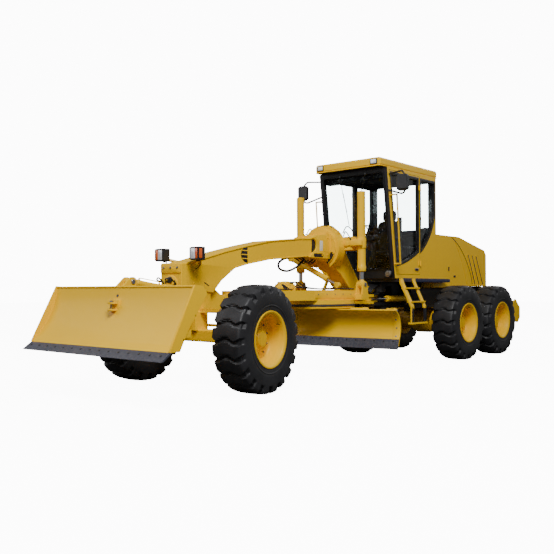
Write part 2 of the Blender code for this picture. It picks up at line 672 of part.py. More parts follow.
def hood():
    inner = HOOD_HALF - HOOD_SKIN
    shell = plate("YZ", hood_side(0), -HOOD_HALF, HOOD_HALF)
    hollow = plate("YZ", hood_side(HOOD_SKIN), -inner, inner)
    behind = plate("YZ", seam(0), -1, 1)
    pipe_low = Vector((-0.30, HOOD_FRONT_Y + 0.35, HOOD_TOP - 0.02))
    stack = cylinder(pipe_low, pipe_low + Vector((0, 0, 0.40)), 0.05)
    node("hood_front", "rear", PAINT, [shell, stack], [hollow, behind])
    hinge("hood_rear", (0, HOOD_REAR_Y, HOOD_LOW + LID_LIFT), "rear")
    shell = plate("YZ", hood_side(0), -HOOD_HALF, HOOD_HALF)
    hollow = plate("YZ", hood_side(HOOD_SKIN), -inner, inner)
    ahead = [(HOOD_FRONT_Y - 0.5, HOOD_TOP + 0.1)] + seam(DOOR_GAP)[:9]
    ahead.append((HOOD_FRONT_Y - 0.5, HOOD_LOW - 0.2))
    sill = box((-1, HOOD_FRONT_Y, HOOD_LOW - 0.1), (1, HOOD_REAR_Y + 0.1, HOOD_LOW + LID_LIFT))
    node("hood_rear", "hood_rear", PAINT, [shell], [hollow, plate("YZ", ahead, -1, 1), sill])
    block = RAIL_X - RAIL_HALF - GAP
    engine = box((-block, TANDEM_Y - 0.45, RAIL_LOW + 0.1), (block, TANDEM_Y + 1.05, 1.95), 0.02)
    node("engine_block", "rear", BLACK, [engine])


def front_frame():
    s = FRONT_Y
    rise_y, fall_y = PIVOT_Y - 0.50, PIVOT_Y - 0.62
    side = [
        (s - 0.36, 1.30),
        (s - 0.36, 1.61),
        (s - 0.05, 1.68),
        (s + 0.41, 1.80),
        (s + 0.87, 1.90),
        (s + 1.34, 1.99),
        (s + 2.04, 2.06),
        (s + 2.80, 2.11),
        (s + 3.12, 2.05),
        (fall_y + 0.12, BOSS_HIGH),
        (PIVOT_Y, BOSS_HIGH),
        (PIVOT_Y, BOSS_LOW),
        (rise_y - 0.08, BOSS_LOW),
        (s + 3.12, 1.52),
        (s + 2.80, 1.72),
        (s + 2.21, 1.78),
        (s + 1.34, 1.71),
        (s + 0.87, 1.63),
        (s + 0.61, 1.57),
        (s + 0.35, 1.40),
        (s + 0.19, 1.24),
    ]
    beam = plate("YZ", side, -BEAM_HALF, BEAM_HALF)
    nose = box((-NOSE_HALF, NOSE_Y, 1.22), (NOSE_HALF, NOSE_Y + 0.10, 1.62), 0.01)
    boss = cylinder((0, PIVOT_Y, BOSS_LOW), (0, PIVOT_Y, BOSS_HIGH), BOSS_R, 20)
    # The nose box carries the axle below it and the dozer frame ahead of it.
    keel = box((-KEEL_HALF, NOSE_Y + 0.03, BEAM_HIGH + 0.22), (KEEL_HALF, s + 0.16, 1.40))
    shapes = [beam, nose, keel, boss]
    for x in (-1, 1):
        low, high = sorted((x * (0.06 + RUN), x * 0.10))
        ear = [(s + 0.10, 1.02), (BALL_Y, 1.02)] + round_end((BALL_Y, BALL_Z), 0.08, -90, 60, 6)[1:]
        ear += [(s + 0.24, 1.32), (s + 0.10, 1.32)]
        shapes.append(plate("YZ", ear, low, high))
    for x in (-1, 1):
        edge = x * (DOZER_ARM_X - DOZER_ARM_HALF - RUN)
        low, high = sorted((edge, edge - x * 0.04))
        hanger = [(s - 0.16, 1.10), (s - 0.37, 1.10), (DOZER_PIN.y - 0.07, DOZER_PIN.z)]
        hanger += round_end((DOZER_PIN.y, DOZER_PIN.z), 0.07, 180, 360, 6)[1:]
        hanger.append((s - 0.16, 0.99))
        shapes.append(plate("YZ", hanger, low, high))
        inner = eye_half(SMALL_BARREL_R) + RUN
        low, high = sorted((x * inner, x * (inner + 0.03)))
        pin = DOZER_CYL_BASE
        ear = [(NOSE_Y + 0.05, pin.z - 0.06), (NOSE_Y + 0.05, pin.z + 0.06), (pin.y, pin.z + 0.06)]
        ear += round_end((pin.y, pin.z), 0.06, 90, 270, 6)[1:]
        shapes.append(plate("YZ", ear, low, high))
        lamp = box(
            (x * LAMP_X - 0.085, LAMP_Y - 0.06, LAMP_Z - 0.085), (x * LAMP_X + 0.085, LAMP_Y + 0.06, LAMP_Z + 0.085), 0.01
        )
        stalk = pipe([(x * 0.14, s - 0.02, 1.62), (x * LAMP_X, LAMP_Y + 0.03, LAMP_Z - 0.05)], 0.022)
        shapes += [lamp, stalk]
        for low_z in (ART_FRONT.z - 0.08, ART_FRONT.z + 0.035 + RUN):
            low, high = sorted((x * 0.10, x * (ART_FRONT.x + 0.07)))
            shapes.append(box((low, ART_FRONT.y - 0.07, low_z), (high, ART_FRONT.y + 0.07, low_z + 0.045 - RUN)))
    node("front_frame", "front", PAINT, shapes)


def saddle():
    # A ring about the beam that carries the lift cylinders, slid over the beam with a small gap.
    ring = cylinder((0, SADDLE_Y - 0.13, SADDLE_Z), (0, SADDLE_Y + 0.05, SADDLE_Z), SADDLE_R, 28)
    shapes = [ring, cylinder((0, SADDLE_Y - 0.16, SADDLE_Z), (0, SADDLE_Y - 0.10, SADDLE_Z), SADDLE_R - 0.05, 28)]
    for x in (-1, 1):
        inner = LIFT_X - LIFT_BARREL_R - 0.055
        low, high = sorted((x * 0.25, x * inner))
        shapes.append(box((low, LIFT_Y - 0.09, TRUNNION_Z - 0.11), (high, LIFT_Y + 0.07, TRUNNION_Z + 0.11), 0.01))
        low, high = sorted((x * (inner - 0.02), x * (LIFT_X - LIFT_BARREL_R - RUN)))
        shapes.append(cylinder((low, LIFT_Y, TRUNNION_Z), (high, LIFT_Y, TRUNNION_Z), 0.05, 14))
    base = SHIFT_BASE
    ear = [(-0.20, base.z + 0.14), (-0.20, base.z - 0.14), (base.x, base.z - 0.07)]
    ear += round_end((base.x, base.z), 0.07, 270, 90, 6)[1:]
    shapes.append(plate("XZ", ear, base.y + eye_half(SMALL_BARREL_R) + RUN, SADDLE_Y - 0.12))
    top, low = 2.14, 1.50
    sleeve = box((-BEAM_HALF - GAP, s_low(), low), (BEAM_HALF + GAP, s_high(), top))
    node("saddle", "front", PAINT, shapes, [sleeve])


def s_low():
    return SADDLE_Y - 0.40


def s_high():
    return SADDLE_Y + 0.30


def front_axle():
    x_in = KINGPIN_X - 0.13
    beam = box((-x_in, FRONT_Y - 0.08, BEAM_LOW), (x_in, FRONT_Y + 0.08, BEAM_HIGH), 0.015)
    block = box((-0.16, FRONT_Y - 0.12, BEAM_HIGH - 0.02), (0.16, FRONT_Y + 0.11, BEAM_HIGH + 0.24), 0.01)
    shapes = [beam, block]
    for x in (-1, 1):
        for low_z in (BEAM_LOW - 0.06, BEAM_HIGH - 0.01):
            tongue = [(x * (x_in - 0.08), FRONT_Y - 0.07), (x * (x_in - 0.08), FRONT_Y + 0.07)]
            tongue += round_end((x * KINGPIN_X, FRONT_Y), 0.07, 90, 90 - x * 180, 8)
            shapes.append(plate("XY", tongue, low_z, low_z + 0.07))
        low, high = sorted((x * (x_in - 0.16), x * (x_in - 0.04)))
        shapes.append(box((low, FRONT_Y - 0.05, BEAM_HIGH - 0.02), (high, FRONT_Y + 0.05, 1.02)))
    shapes.append(box((-x_in + 0.05, FRONT_Y - 0.035, 0.975), (x_in - 0.05, FRONT_Y + 0.035, 1.035)))
    keel_clear = box((-KEEL_HALF - GAP, FRONT_Y - 0.2, BEAM_HIGH + 0.22 - GAP), (KEEL_HALF + GAP, FRONT_Y + 0.2, 1.2))
    node("front_axle", "front", PAINT, shapes, [keel_clear])


def knuckle(side, name):
    body = "knuckle_" + name
    hinge(body, (side * KINGPIN_X, FRONT_Y, AXLE_Z), "front")
    low, high = BEAM_LOW + 0.01 + RUN, BEAM_HIGH - 0.01 - RUN
    x = side * KINGPIN_X
    boss = cylinder((x, FRONT_Y, low), (x, FRONT_Y, high), 0.065, 16)
    spindle = cylinder((x, FRONT_Y, AXLE_Z), (side * (WHEEL_X - HUB_INSET - RUN), FRONT_Y, AXLE_Z), 0.06, 16)
    flange = cylinder((x + side * 0.08, FRONT_Y, AXLE_Z), (x + side * 0.13, FRONT_Y, AXLE_Z), 0.12, 16)
    arm = box((x - 0.03, FRONT_Y, AXLE_Z - 0.03), (x + 0.03, FRONT_Y + TIE_ARM + 0.03, AXLE_Z + 0.03), 0.005)
    post_top = TIE_Z - TIE_R - 0.015
    post = cylinder((x, FRONT_Y + TIE_ARM, AXLE_Z), (x, FRONT_Y + TIE_ARM, post_top - RUN), 0.022, 12)
    node(body, body, PAINT, [boss, spindle, flange, arm, post])
    wheel_body = f"front_wheel_{name}"
    hinge(wheel_body, (side * WHEEL_X, FRONT_Y, AXLE_Z), body)
    wheel(f"front_{name}", wheel_body, (side * WHEEL_X, FRONT_Y, AXLE_Z))


def tie_rod():
    y = FRONT_Y + TIE_ARM
    hinge("tie_rod", (KINGPIN_X, y, TIE_Z), "knuckle_left")
    shapes = [cylinder((-KINGPIN_X, y, TIE_Z), (KINGPIN_X, y, TIE_Z), TIE_R, 10)]
    for x in (-KINGPIN_X, KINGPIN_X):
        shapes.append(cylinder((x, y, TIE_Z - TIE_R - 0.015), (x, y, TIE_Z + TIE_R + 0.01), 0.034, 12))
    node("tie_rod", "tie_rod", BLACK, shapes)


def dozer():
    hinge("dozer", DOZER_PIN, "front")
    front = arc(DOZER_LOW, DOZER_TOP, DOZER_BOW, 8)
    back = [(y + DOZER_T, z) for y, z in reversed(front)]
    skin = plate("YZ", front + back, -DOZER_HALF + 0.01, DOZER_HALF - 0.01)
    shapes = [skin]
    for x in (-1, 1):
        low, high = sorted((x * (DOZER_HALF - 0.025), x * DOZER_HALF))
        cheek = [(DOZER_LOW.x, DOZER_LOW.y), (DOZER_LOW.x + 0.14, DOZER_LOW.y)]
        cheek += [(DOZER_LOW.x + 0.26, 0.85), (DOZER_TOP.x + 0.17, 1.24), (DOZER_TOP.x + 0.10, DOZER_TOP.y + 0.01)]
        cheek += [(DOZER_TOP.x - 0.01, DOZER_TOP.y + 0.02)]
        shapes.append(plate("YZ", cheek, low, high))
        low, high = sorted((x * (DOZER_ARM_X - DOZER_ARM_HALF), x * (DOZER_ARM_X + DOZER_ARM_HALF)))
        arm = [(DOZER_LOW.x + 0.18, 0.68), (DOZER_PIN.y, DOZER_PIN.z - 0.07)]
        arm += round_end((DOZER_PIN.y, DOZER_PIN.z), 0.07, -90, 90, 6)[1:]
        arm += [(DOZER_LOW.x + 0.36, 1.02), (DOZER_LOW.x + 0.30, 1.02)]
        shapes.append(plate("YZ", arm, low, high))
        low, high = sorted((x * (0.04 + RUN), x * 0.075))
        eye = DOZER_CYL_EYE
        lug = [(DOZER_TOP.x - 0.02, 1.14), (DOZER_TOP.x + 0.10, 1.14)]
        lug += round_end((eye.y, eye.z), 0.06, -45, 135, 6) + [(DOZER_TOP.x - 0.0, DOZER_TOP.y + 0.01)]
        shapes.append(plate("YZ", lug, low, high))
    # Stiffeners that follow the back of the plate.
    inside = [(y + DOZER_T / 2, z) for y, z in front]
    for half, first, last in ((DOZER_HALF - 0.01, 6, 7), (DOZER_HALF - 0.01, 2, 3), (0.30, 1, 6)):
        line = inside[first : last + 1]
        rear = max(y for y, z in line) + 0.10
        shapes.append(plate("YZ", line + [(rear, line[-1][1]), (rear, line[0][1])], -half, half))
    node("dozer_blade", "dozer", PAINT, shapes)
    low_y, low_z = DOZER_LOW.x, DOZER_LOW.y - GAP
    edge = [(low_y, low_z), (low_y + 0.04, low_z)]
    edge += [(y - DOZER_EDGE_Y, z - DOZER_EDGE_Z) for y, z in reversed(edge)]
    shape = plate("YZ", edge, -DOZER_HALF, DOZER_HALF)
    node("dozer_edge", "dozer", WEAR_STEEL, [shape])
    hinge("dozer_barrel", DOZER_CYL_BASE, "front")
    hinge("dozer_rod", DOZER_CYL_EYE, "dozer_barrel")
    barrel_and_rod("dozer_cylinder", "dozer", DOZER_CYL_BASE, DOZER_CYL_EYE, 0.47, (SMALL_BARREL_R, SMALL_ROD_R), 0.39, 0.04)


def drawbar():
    hinge("drawbar", (0, BALL_Y, BALL_Z), "front")
    wide, s = DRAWBAR_HALF, FRONT_Y
    rear = LIFT_Y + 0.12
    shoulder = s + 1.85
    outer = [(-0.10, s + 0.62), (0.10, s + 0.62), (wide, shoulder), (wide, rear), (-wide, rear), (-wide, shoulder)]
    inner_x = wide - 0.15
    front_hole = [(-0.03, s + 1.00), (0.03, s + 1.00), (inner_x - 0.04, s + 1.80), (-inner_x + 0.04, s + 1.80)]
    rear_hole = [(-inner_x, s + 2.05), (inner_x, s + 2.05), (inner_x, rear - 0.16), (-inner_x, rear - 0.16)]
    frame = plate("XY", outer, DRAWBAR_LOW, DRAWBAR_HIGH)
    tongue = [(s + 0.70, DRAWBAR_LOW + 0.02), (BALL_Y, BALL_Z - 0.06)]
    tongue += round_end((BALL_Y, BALL_Z), 0.07, 240, 110, 8)[1:] + [(s + 0.70, DRAWBAR_HIGH - 0.02)]
    shapes = [frame, plate("YZ", tongue, -0.06, 0.06)]
    # The circle's drive housing hangs over the rear hole.
    shapes.append(box((-0.13, s + 1.72, DRAWBAR_HIGH - 0.02), (0.13, s + 1.98, DRAWBAR_HIGH + 0.10), 0.01))
    for x in (-1, 1):
        for offset in (-1, 1):
            edge = x * LIFT_X + offset * (0.04 + RUN)
            low, high = sorted((edge, edge + offset * 0.03))
            ear = [(LIFT_Y - 0.09, DRAWBAR_LOW + 0.02), (LIFT_Y + 0.09, DRAWBAR_LOW + 0.02)]
            ear += [(LIFT_Y + 0.06, LIFT_EYE_Z)] + round_end((LIFT_Y, LIFT_EYE_Z), 0.055, 0, 180, 6)
            ear += [(LIFT_Y - 0.06, LIFT_EYE_Z)]
            shapes.append(plate("YZ", ear, low, high))
        low, high = sorted((x * (wide - 0.1), x * (LIFT_X + 0.07)))
        shapes.append(box((low, LIFT_Y - 0.10, DRAWBAR_LOW), (high, LIFT_Y + 0.10, DRAWBAR_HIGH - 0.06)))
    # The stud that the centre-shift cylinder's rod is pinned on.
    eye = SHIFT_EYE
    top = eye.z - SMALL_ROD_R - 0.03
    shapes.append(cylinder((eye.x, eye.y, DRAWBAR_HIGH - 0.02), (eye.x, eye.y, top), 0.035, 12))
    cuts = [plate("XY", front_hole, 1, 1.2555), plate("XY", rear_hole, 1, 1.5)]
    cuts[0].scale.z = 3
    node("drawbar", "drawbar", PAINT, shapes, cuts)


def mold_front():
    # The blade's front line, (y, z) with y from the circle's centre: straight behind the cutting
    # edge, then bowed back.
    up = Vector((math.sin(math.radians(15)), math.cos(math.radians(15))))
    out = Vector((up.y, -up.x))
    foot = Vector((BLADE_BASE, BLADE_LOW)) + out * (EDGE_T + GAP)
    knee = foot + up * EDGE_H
    top = (BLADE_BASE - 0.05, BLADE_TOP)
    return [tuple(foot + up * 0.05)] + arc(knee, top, MOLD_BOW, 8), up, out


def circle_and_blade():
    s = CIRCLE_Y
    hinge("circle", (0, s, CIRCLE_LOW), "drawbar")
    top = DRAWBAR_LOW - RUN
    ring = cylinder((0, s, CIRCLE_LOW), (0, s, top), CIRCLE_R, 32)
    hole = cylinder((0, s, CIRCLE_LOW - 0.1), (0, s, top + 0.1), CIRCLE_HOLE_R, 32)
    arms = []
    for x in (-ARM_X, ARM_X):
        arm = [
            (s + RAIL_BACK + RUN, 0.52),
            (s + RAIL_BACK + 0.10, 0.50),
            (s + RAIL_BACK + 0.17, 0.60),
            (s + 0.42, CIRCLE_LOW + 0.02),
            (s + 0.05, CIRCLE_LOW + 0.02),
            (s + RAIL_BACK + RUN, 0.93),
        ]
        arms.append(plate("YZ", arm, x - ARM_HALF, x + ARM_HALF))
    arms.append(cylinder((-ARM_X, s + 0.13, 0.68), (ARM_X, s + 0.13, 0.68), 0.045, 12))
    axis_y = s + SIDE_CYL_Y
    mouth = 1.02
    barrel = cylinder((0.02, axis_y, SIDE_CYL_Z), (mouth, axis_y, SIDE_CYL_Z), SIDE_BARREL_R)
    bore = cylinder((0.06, axis_y, SIDE_CYL_Z), (mouth + 0.05, axis_y, SIDE_CYL_Z), SIDE_ROD_R + RUN)
    node("circle", "circle", PAINT, [ring, *arms, barrel], [hole, bore])
    hinge("moldboard", (0, s, BLADE_LOW), "circle")
    low_x, high_x = BLADE_SHIFT - BLADE_LENGTH / 2, BLADE_SHIFT + BLADE_LENGTH / 2
    front, up, out = mold_front()
    front = shifted(front, s, 0)
    back = [(y + MOLD_T, z) for y, z in reversed(front)]
    skin = plate("YZ", front + back, low_x, high_x)
    shapes = [skin]
    deepest = max(y for y, z in front)
    for z in (0.58, 0.86):
        shapes.append(box((low_x + 0.15, deepest - 0.012, z - 0.03), (high_x - 0.15, s + RAIL_BACK, z + 0.03)))
    bracket_x = high_x - 0.22
    shapes.append(
        box((bracket_x, deepest - 0.012, 0.80), (bracket_x + 0.05, axis_y + 0.05, SIDE_CYL_Z + 0.042))
    )
    node("moldboard", "moldboard", PAINT, shapes)
    foot = Vector((BLADE_BASE + s, BLADE_LOW))
    edge = [foot, foot + out * EDGE_T, foot + out * EDGE_T + up * EDGE_H, foot + up * EDGE_H]
    node("moldboard_edge", "moldboard", WEAR_STEEL, [plate("YZ", [tuple(p) for p in edge], low_x, high_x)])
    stem = cylinder((0.44, axis_y, SIDE_CYL_Z), (bracket_x - GAP, axis_y, SIDE_CYL_Z), SIDE_ROD_R)
    node("side_shift_rod", "moldboard", PLATED, [stem])


def lift_cylinder(side, name):
    x = side * LIFT_X
    base = Vector((x, LIFT_Y, TRUNNION_Z))
    eye = Vector((x, LIFT_Y, LIFT_EYE_Z))
    hinge(f"lift_{name}_barrel", base, "front")
    hinge(f"lift_{name}_rod", eye, f"lift_{name}_barrel")
    barrel_and_rod(
        f"lift_cylinder_{name}",
        f"lift_{name}",
        base,
        eye,
        TRUNNION_Z - LIFT_GLAND_Z,
        (LIFT_BARREL_R, LIFT_ROD_R),
        LIFT_TOP_Z - LIFT_GLAND_Z - 0.10,
        0.04,
        LIFT_TOP_Z - TRUNNION_Z,
    )


def other_cylinders():
    hinge("centre_shift_barrel", SHIFT_BASE, "front")
    hinge("centre_shift_rod", SHIFT_EYE, "centre_shift_barrel")
    barrel_and_rod(
        "centre_shift_cylinder", "centre_shift", SHIFT_BASE, SHIFT_EYE, 0.82, (SMALL_BARREL_R, SMALL_ROD_R), 0.72, 0.035
    )
    for side, name in ((1, "left"), (-1, "right")):
        base = Vector((side * ART_REAR.x, ART_REAR.y, ART_REAR.z))
        eye = Vector((side * ART_FRONT.x, ART_FRONT.y, ART_FRONT.z))
        body = f"articulation_{name}"
        hinge(body + "_barrel", base, "rear")
        hinge(body + "_rod", eye, body + "_barrel")
        barrel_and_rod(
            f"articulation_cylinder_{name}", body, base, eye, 0.66, (ART_BARREL_R, ART_ROD_R), 0.33, 0.035
        )


def ripper():
    hinge("ripper", RIPPER_PIN, "rear")
    y, pin = RIPPER_BEAM_Y, RIPPER_PIN
    shapes = [box((-RIPPER_HALF + 0.02, y - 0.09, 0.72), (RIPPER_HALF - 0.02, y + 0.09, 0.90))]
    for x in (-1, 1):
        low, high = sorted((x * (RIPPER_ARM_X - RIPPER_ARM_HALF), x * (RIPPER_ARM_X + RIPPER_ARM_HALF)))
        arm = round_end((pin.y, pin.z), 0.07, 90, 270, 6) + [(y, 0.73), (y, 0.92)]
        shapes.append(plate("YZ", arm, low, high))
        low, high = sorted((x * (RIPPER_HALF - 0.04), x * RIPPER_HALF))
        end = [(y - 0.16, 0.62), (y + 0.13, 0.56), (y + 0.25, 0.66), (y + 0.25, 0.88), (y + 0.02, 1.06), (y - 0.16, 0.95)]
        shapes.append(plate("YZ", end, low, high))
        low, high = sorted((x * (0.035 + RUN), x * 0.07))
        eye = RIPPER_CYL_EYE
        lug = [(y - 0.08, 0.88), (y + 0.06, 0.88)] + round_end((eye.y, eye.z), 0.05, 0, 180, 6)
        shapes.append(plate("YZ", lug, low, high))
    for i in range(5):
        x = (i - 2) * (RIPPER_HALF - 0.06) / 2
        tooth = [(y + 0.02, 0.96), (y - 0.02, 0.50), (y - 0.14, 0.40), (y + 0.05, 0.44), (y + 0.11, 0.96)]
        shapes.append(plate("YZ", tooth, x - 0.025, x + 0.025))
    node("ripper_beam", "ripper", PAINT, shapes)
    hinge("ripper_barrel", RIPPER_CYL_BASE, "rear")
    hinge("ripper_rod", RIPPER_CYL_EYE, "ripper_barrel")
    barrel_and_rod(
        "ripper_cylinder", "ripper", RIPPER_CYL_BASE, RIPPER_CYL_EYE, 0.37, (SMALL_BARREL_R, SMALL_ROD_R), 0.28, 0.035
    )


clear_scene()
PARTS = new_collection("motor_grader")
CUTTERS = new_collection("motor_grader_cutters")
JOINTS = {}

hinge("rear", (0, 0, 0))
rear_frame()
tandem()
for side, name in ((1, "left"), (-1, "right")):
    for place, y in (("middle", TANDEM_Y - TANDEM_PITCH / 2), ("rear", TANDEM_Y + TANDEM_PITCH / 2)):
        body = f"{place}_wheel_{name}"
        hinge(body, (side * WHEEL_X, y, AXLE_Z), "rear")
        wheel(f"{place}_{name}", body, (side * WHEEL_X, y, AXLE_Z))
cab()
cab_inside()
for side, name in ((1, "left"), (-1, "right")):
    door(side, name)
    ladder(side, name)
hood()
ripper()

hinge("front", (0, PIVOT_Y, 0), "rear")
front_frame()
saddle()
front_axle()
for side, name in ((1, "left"), (-1, "right")):
    knuckle(side, name)
tie_rod()
dozer()
drawbar()
circle_and_blade()
for side, name in ((1, "left"), (-1, "right")):
    lift_cylinder(side, name)
other_cylinders()

# The pose it stands in: blade turned a little on its circle, front wheels steered a little left.
JOINTS["circle"].rotation_euler.z = BLADE_YAW
for name in ("left", "right"):
    JOINTS["knuckle_" + name].rotation_euler.z = REST_STEER
JOINTS["tie_rod"].rotation_euler.z = -REST_STEER
bpy.context.view_layer.update()
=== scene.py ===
import math

import bmesh
import bpy
import numpy as np
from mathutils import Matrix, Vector


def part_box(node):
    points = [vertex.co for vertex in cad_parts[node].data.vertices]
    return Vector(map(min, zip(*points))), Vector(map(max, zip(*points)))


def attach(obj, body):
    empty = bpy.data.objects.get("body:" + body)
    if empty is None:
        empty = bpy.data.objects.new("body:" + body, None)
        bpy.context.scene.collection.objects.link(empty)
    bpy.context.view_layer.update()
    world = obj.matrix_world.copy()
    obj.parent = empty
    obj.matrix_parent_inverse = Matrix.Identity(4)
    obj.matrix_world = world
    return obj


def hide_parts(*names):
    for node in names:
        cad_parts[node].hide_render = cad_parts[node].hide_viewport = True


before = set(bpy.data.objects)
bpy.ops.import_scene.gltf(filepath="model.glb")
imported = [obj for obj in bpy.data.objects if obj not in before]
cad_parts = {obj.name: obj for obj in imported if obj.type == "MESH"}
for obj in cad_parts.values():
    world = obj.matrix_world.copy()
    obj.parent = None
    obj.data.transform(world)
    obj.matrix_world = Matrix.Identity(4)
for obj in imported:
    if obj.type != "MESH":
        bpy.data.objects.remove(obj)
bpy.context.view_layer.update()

print("frame loaded:", len(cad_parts), "CAD nodes")

layout = {"steer": math.radians(7.5), "bladeYaw": math.radians(6), "smoothAngle": math.radians(34)}


def boxOf(node):
    low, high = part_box(node)
    return np.array(low), np.array(high)


# Surfaces.
# A chunk is (vertices, faces, material number). Faces are lists of vertex numbers, counted from 0.


def gridChunk(points, closeU=False, closeV=True, caps=True, material=0):
    # Rows of points joined to quads: face (i, j) goes point (i, j), (i, j+1), (i+1, j+1), (i+1, j).
    rows, cols = points.shape[:2]
    i = np.arange(rows if closeU else rows - 1)[:, None]
    j = np.arange(cols if closeV else cols - 1)[None, :]
    a, b = (i % rows) * cols, ((i + 1) % rows) * cols
    quads = np.stack([a + j, a + (j + 1) % cols, b + (j + 1) % cols, b + j], -1).reshape(-1, 4)
    faces = quads.tolist()
    if caps and not closeU:
        faces.append(list(range(cols))[::-1])
        faces.append(list(range((rows - 1) * cols, rows * cols)))
    return points.reshape(-1, 3), faces, material


def turned(profile, centre, axis=(1, 0, 0), sides=48, material=0, closed=False):
    # A profile of (distance from the axis, distance along it) turned round the axis through centre.
    axis = np.array(axis, float) / np.linalg.norm(axis)
    side = np.cross(axis, (0, 0, 1) if abs(axis[2]) < 0.9 else (1, 0, 0))
    side /= np.linalg.norm(side)
    other = np.cross(axis, side)
    profile = np.array(profile, float)
    angle = np.linspace(0, 2 * math.pi, sides, endpoint=False)
    ring = np.cos(angle)[:, None] * side + np.sin(angle)[:, None] * other
    points = profile[:, 0, None, None] * ring[None] + profile[:, 1, None, None] * axis + np.array(centre)
    return gridChunk(points, closeU=closed, material=material)


def smoothPath(points, count=32):
    # A Catmull-Rom line through the points: each span is the cubic through it with its neighbours' slopes.
    p = np.array(points, float)
    p = np.vstack([2 * p[0] - p[1], p, 2 * p[-1] - p[-2]])
    t = np.linspace(0, len(points) - 1 - 1e-9, count)
    i = t.astype(int)
    f = (t - i)[:, None]
    a, b, c, d = p[i], p[i + 1], p[i + 2], p[i + 3]
    return 0.5 * (2 * b + (c - a) * f + (2 * a - 5 * b + 4 * c - d) * f**2 + (3 * b - a - 3 * c + d) * f**3)


def carried(profile, path, up=(0, 0, 1), closed=False, material=0):
    # A closed profile of (sideways, upwards) points carried along a path, square to its direction.
    path, profile = np.array(path, float), np.array(profile, float)
    if closed:
        along = np.roll(path, -1, 0) - np.roll(path, 1, 0)
    else:
        along = np.gradient(path, axis=0)
    along /= np.linalg.norm(along, axis=1)[:, None]
    side = np.cross(along, np.array(up, float))
    side /= np.maximum(np.linalg.norm(side, axis=1), 1e-9)[:, None]
    above = np.cross(side, along)
    points = path[:, None] + side[:, None] * profile[None, :, :1] + above[:, None] * profile[None, :, 1:]
    return gridChunk(points, closeU=closed, material=material)


def circleOf(radius, sides=12, squash=1.0):
    angle = np.linspace(0, 2 * math.pi, sides, endpoint=False)
    return np.stack([radius * np.cos(angle), radius * squash * np.sin(angle)], 1)


def tube(points, radius, sides=12, count=36, up=(0.13, 0.21, 0.97), material=0):
    return carried(circleOf(radius, sides), smoothPath(points, count), up, material=material)


def bar(points, radius, sides=14, bend=0.05, up=(0.13, 0.21, 0.97), material=0):
    # A straight-sided tube whose corners are rounded: each corner is replaced by a short quadratic arc.
    p = np.array(points, float)
    route = [p[0]]
    for a, b, c in zip(p[:-2], p[1:-1], p[2:]):
        start = b + (a - b) / np.linalg.norm(a - b) * min(bend, np.linalg.norm(a - b) * 0.45)
        end = b + (c - b) / np.linalg.norm(c - b) * min(bend, np.linalg.norm(c - b) * 0.45)
        t = np.linspace(0, 1, 6)[:, None]
        route += list((1 - t) ** 2 * start + 2 * t * (1 - t) * b + t**2 * end)
    route.append(p[-1])
    return carried(circleOf(radius, sides), np.array(route), up, material=material)


def insetOf(outline, amount):
    # Every corner moved inwards along its mitre, so that each side moves in by the amount.
    before, after = np.roll(outline, 1, 0), np.roll(outline, -1, 0)
    a = (outline - before) / np.maximum(np.linalg.norm(outline - before, axis=1), 1e-9)[:, None]
    b = (after - outline) / np.maximum(np.linalg.norm(after - outline, axis=1), 1e-9)[:, None]
    normal = np.stack([-(a + b)[:, 1], (a + b)[:, 0]], 1)
    normal /= np.maximum(np.linalg.norm(normal, axis=1), 1e-9)[:, None]
    cosine = np.maximum(normal[:, 0] * -a[:, 1] + normal[:, 1] * a[:, 0], 0.45)
    return outline + normal * (amount / cosine)[:, None]


def placed(flat, axis, height):
    # Points (a, b) in the plane square to an axis, at a height on that axis:
    # x takes (y, z), y takes (x, z) and z takes (x, y).
    h = np.full(len(flat), float(height))
    order = {"x": (h, flat[:, 0], flat[:, 1]), "y": (flat[:, 0], h, flat[:, 1]),
        "z": (flat[:, 0], flat[:, 1], h)}
    return np.stack(order[axis], 1)


def slab(outline, axis, low, high, soft=0.004, material=0):
    # An outline reaching from low to high along an axis, with its rims eased by two short steps.
    outline = np.array(outline, float)
    after = np.roll(outline, -1, 0)
    if np.sum(outline[:, 0] * after[:, 1] - after[:, 0] * outline[:, 1]) < 0:
        outline = outline[::-1]
    low, high = min(low, high), max(low, high)
    soft = min(soft, (high - low) * 0.45)
    steps = [(1, 0), (0.3, 0.3), (0, 1)]
    rings = [placed(insetOf(outline, soft * a), axis, low + soft * b) for a, b in steps]
    rings += [placed(insetOf(outline, soft * a), axis, high - soft * b) for a, b in steps[::-1]]
    points = np.array(rings)
    if axis == "y":
        points = points[:, ::-1]
    return gridChunk(points, material=material)


def roundRect(lowA, lowB, highA, highB, radius=0.02, steps=5):
    angle = np.linspace(0, math.pi / 2, steps)
    corners = [(highA, highB, 0), (lowA, highB, 1), (lowA, lowB, 2), (highA, lowB, 3)]
    parts = []
    for a, b, turn in corners:
        inward = {0: (-1, -1), 1: (1, -1), 2: (1, 1), 3: (-1, 1)}[turn]
        centre = np.array([a + inward[0] * radius, b + inward[1] * radius])
        parts.append(centre + radius * np.stack([np.cos(angle + turn * math.pi / 2),
            np.sin(angle + turn * math.pi / 2)], 1))
    return np.vstack(parts)


def block(low, high, radius=0.02, axis="z", soft=0.004, material=0):
    # A rounded box from corner to corner, extruded along an axis.
    a, b, c = {"x": (1, 2, 0), "y": (0, 2, 1), "z": (0, 1, 2)}[axis]
    low, high = np.minimum(low, high), np.maximum(low, high)
    radius = min(radius, (high[a] - low[a]) * 0.49, (high[b] - low[b]) * 0.49)
    return slab(roundRect(low[a], low[b], high[a], high[b], radius), axis, low[c], high[c], soft, material)


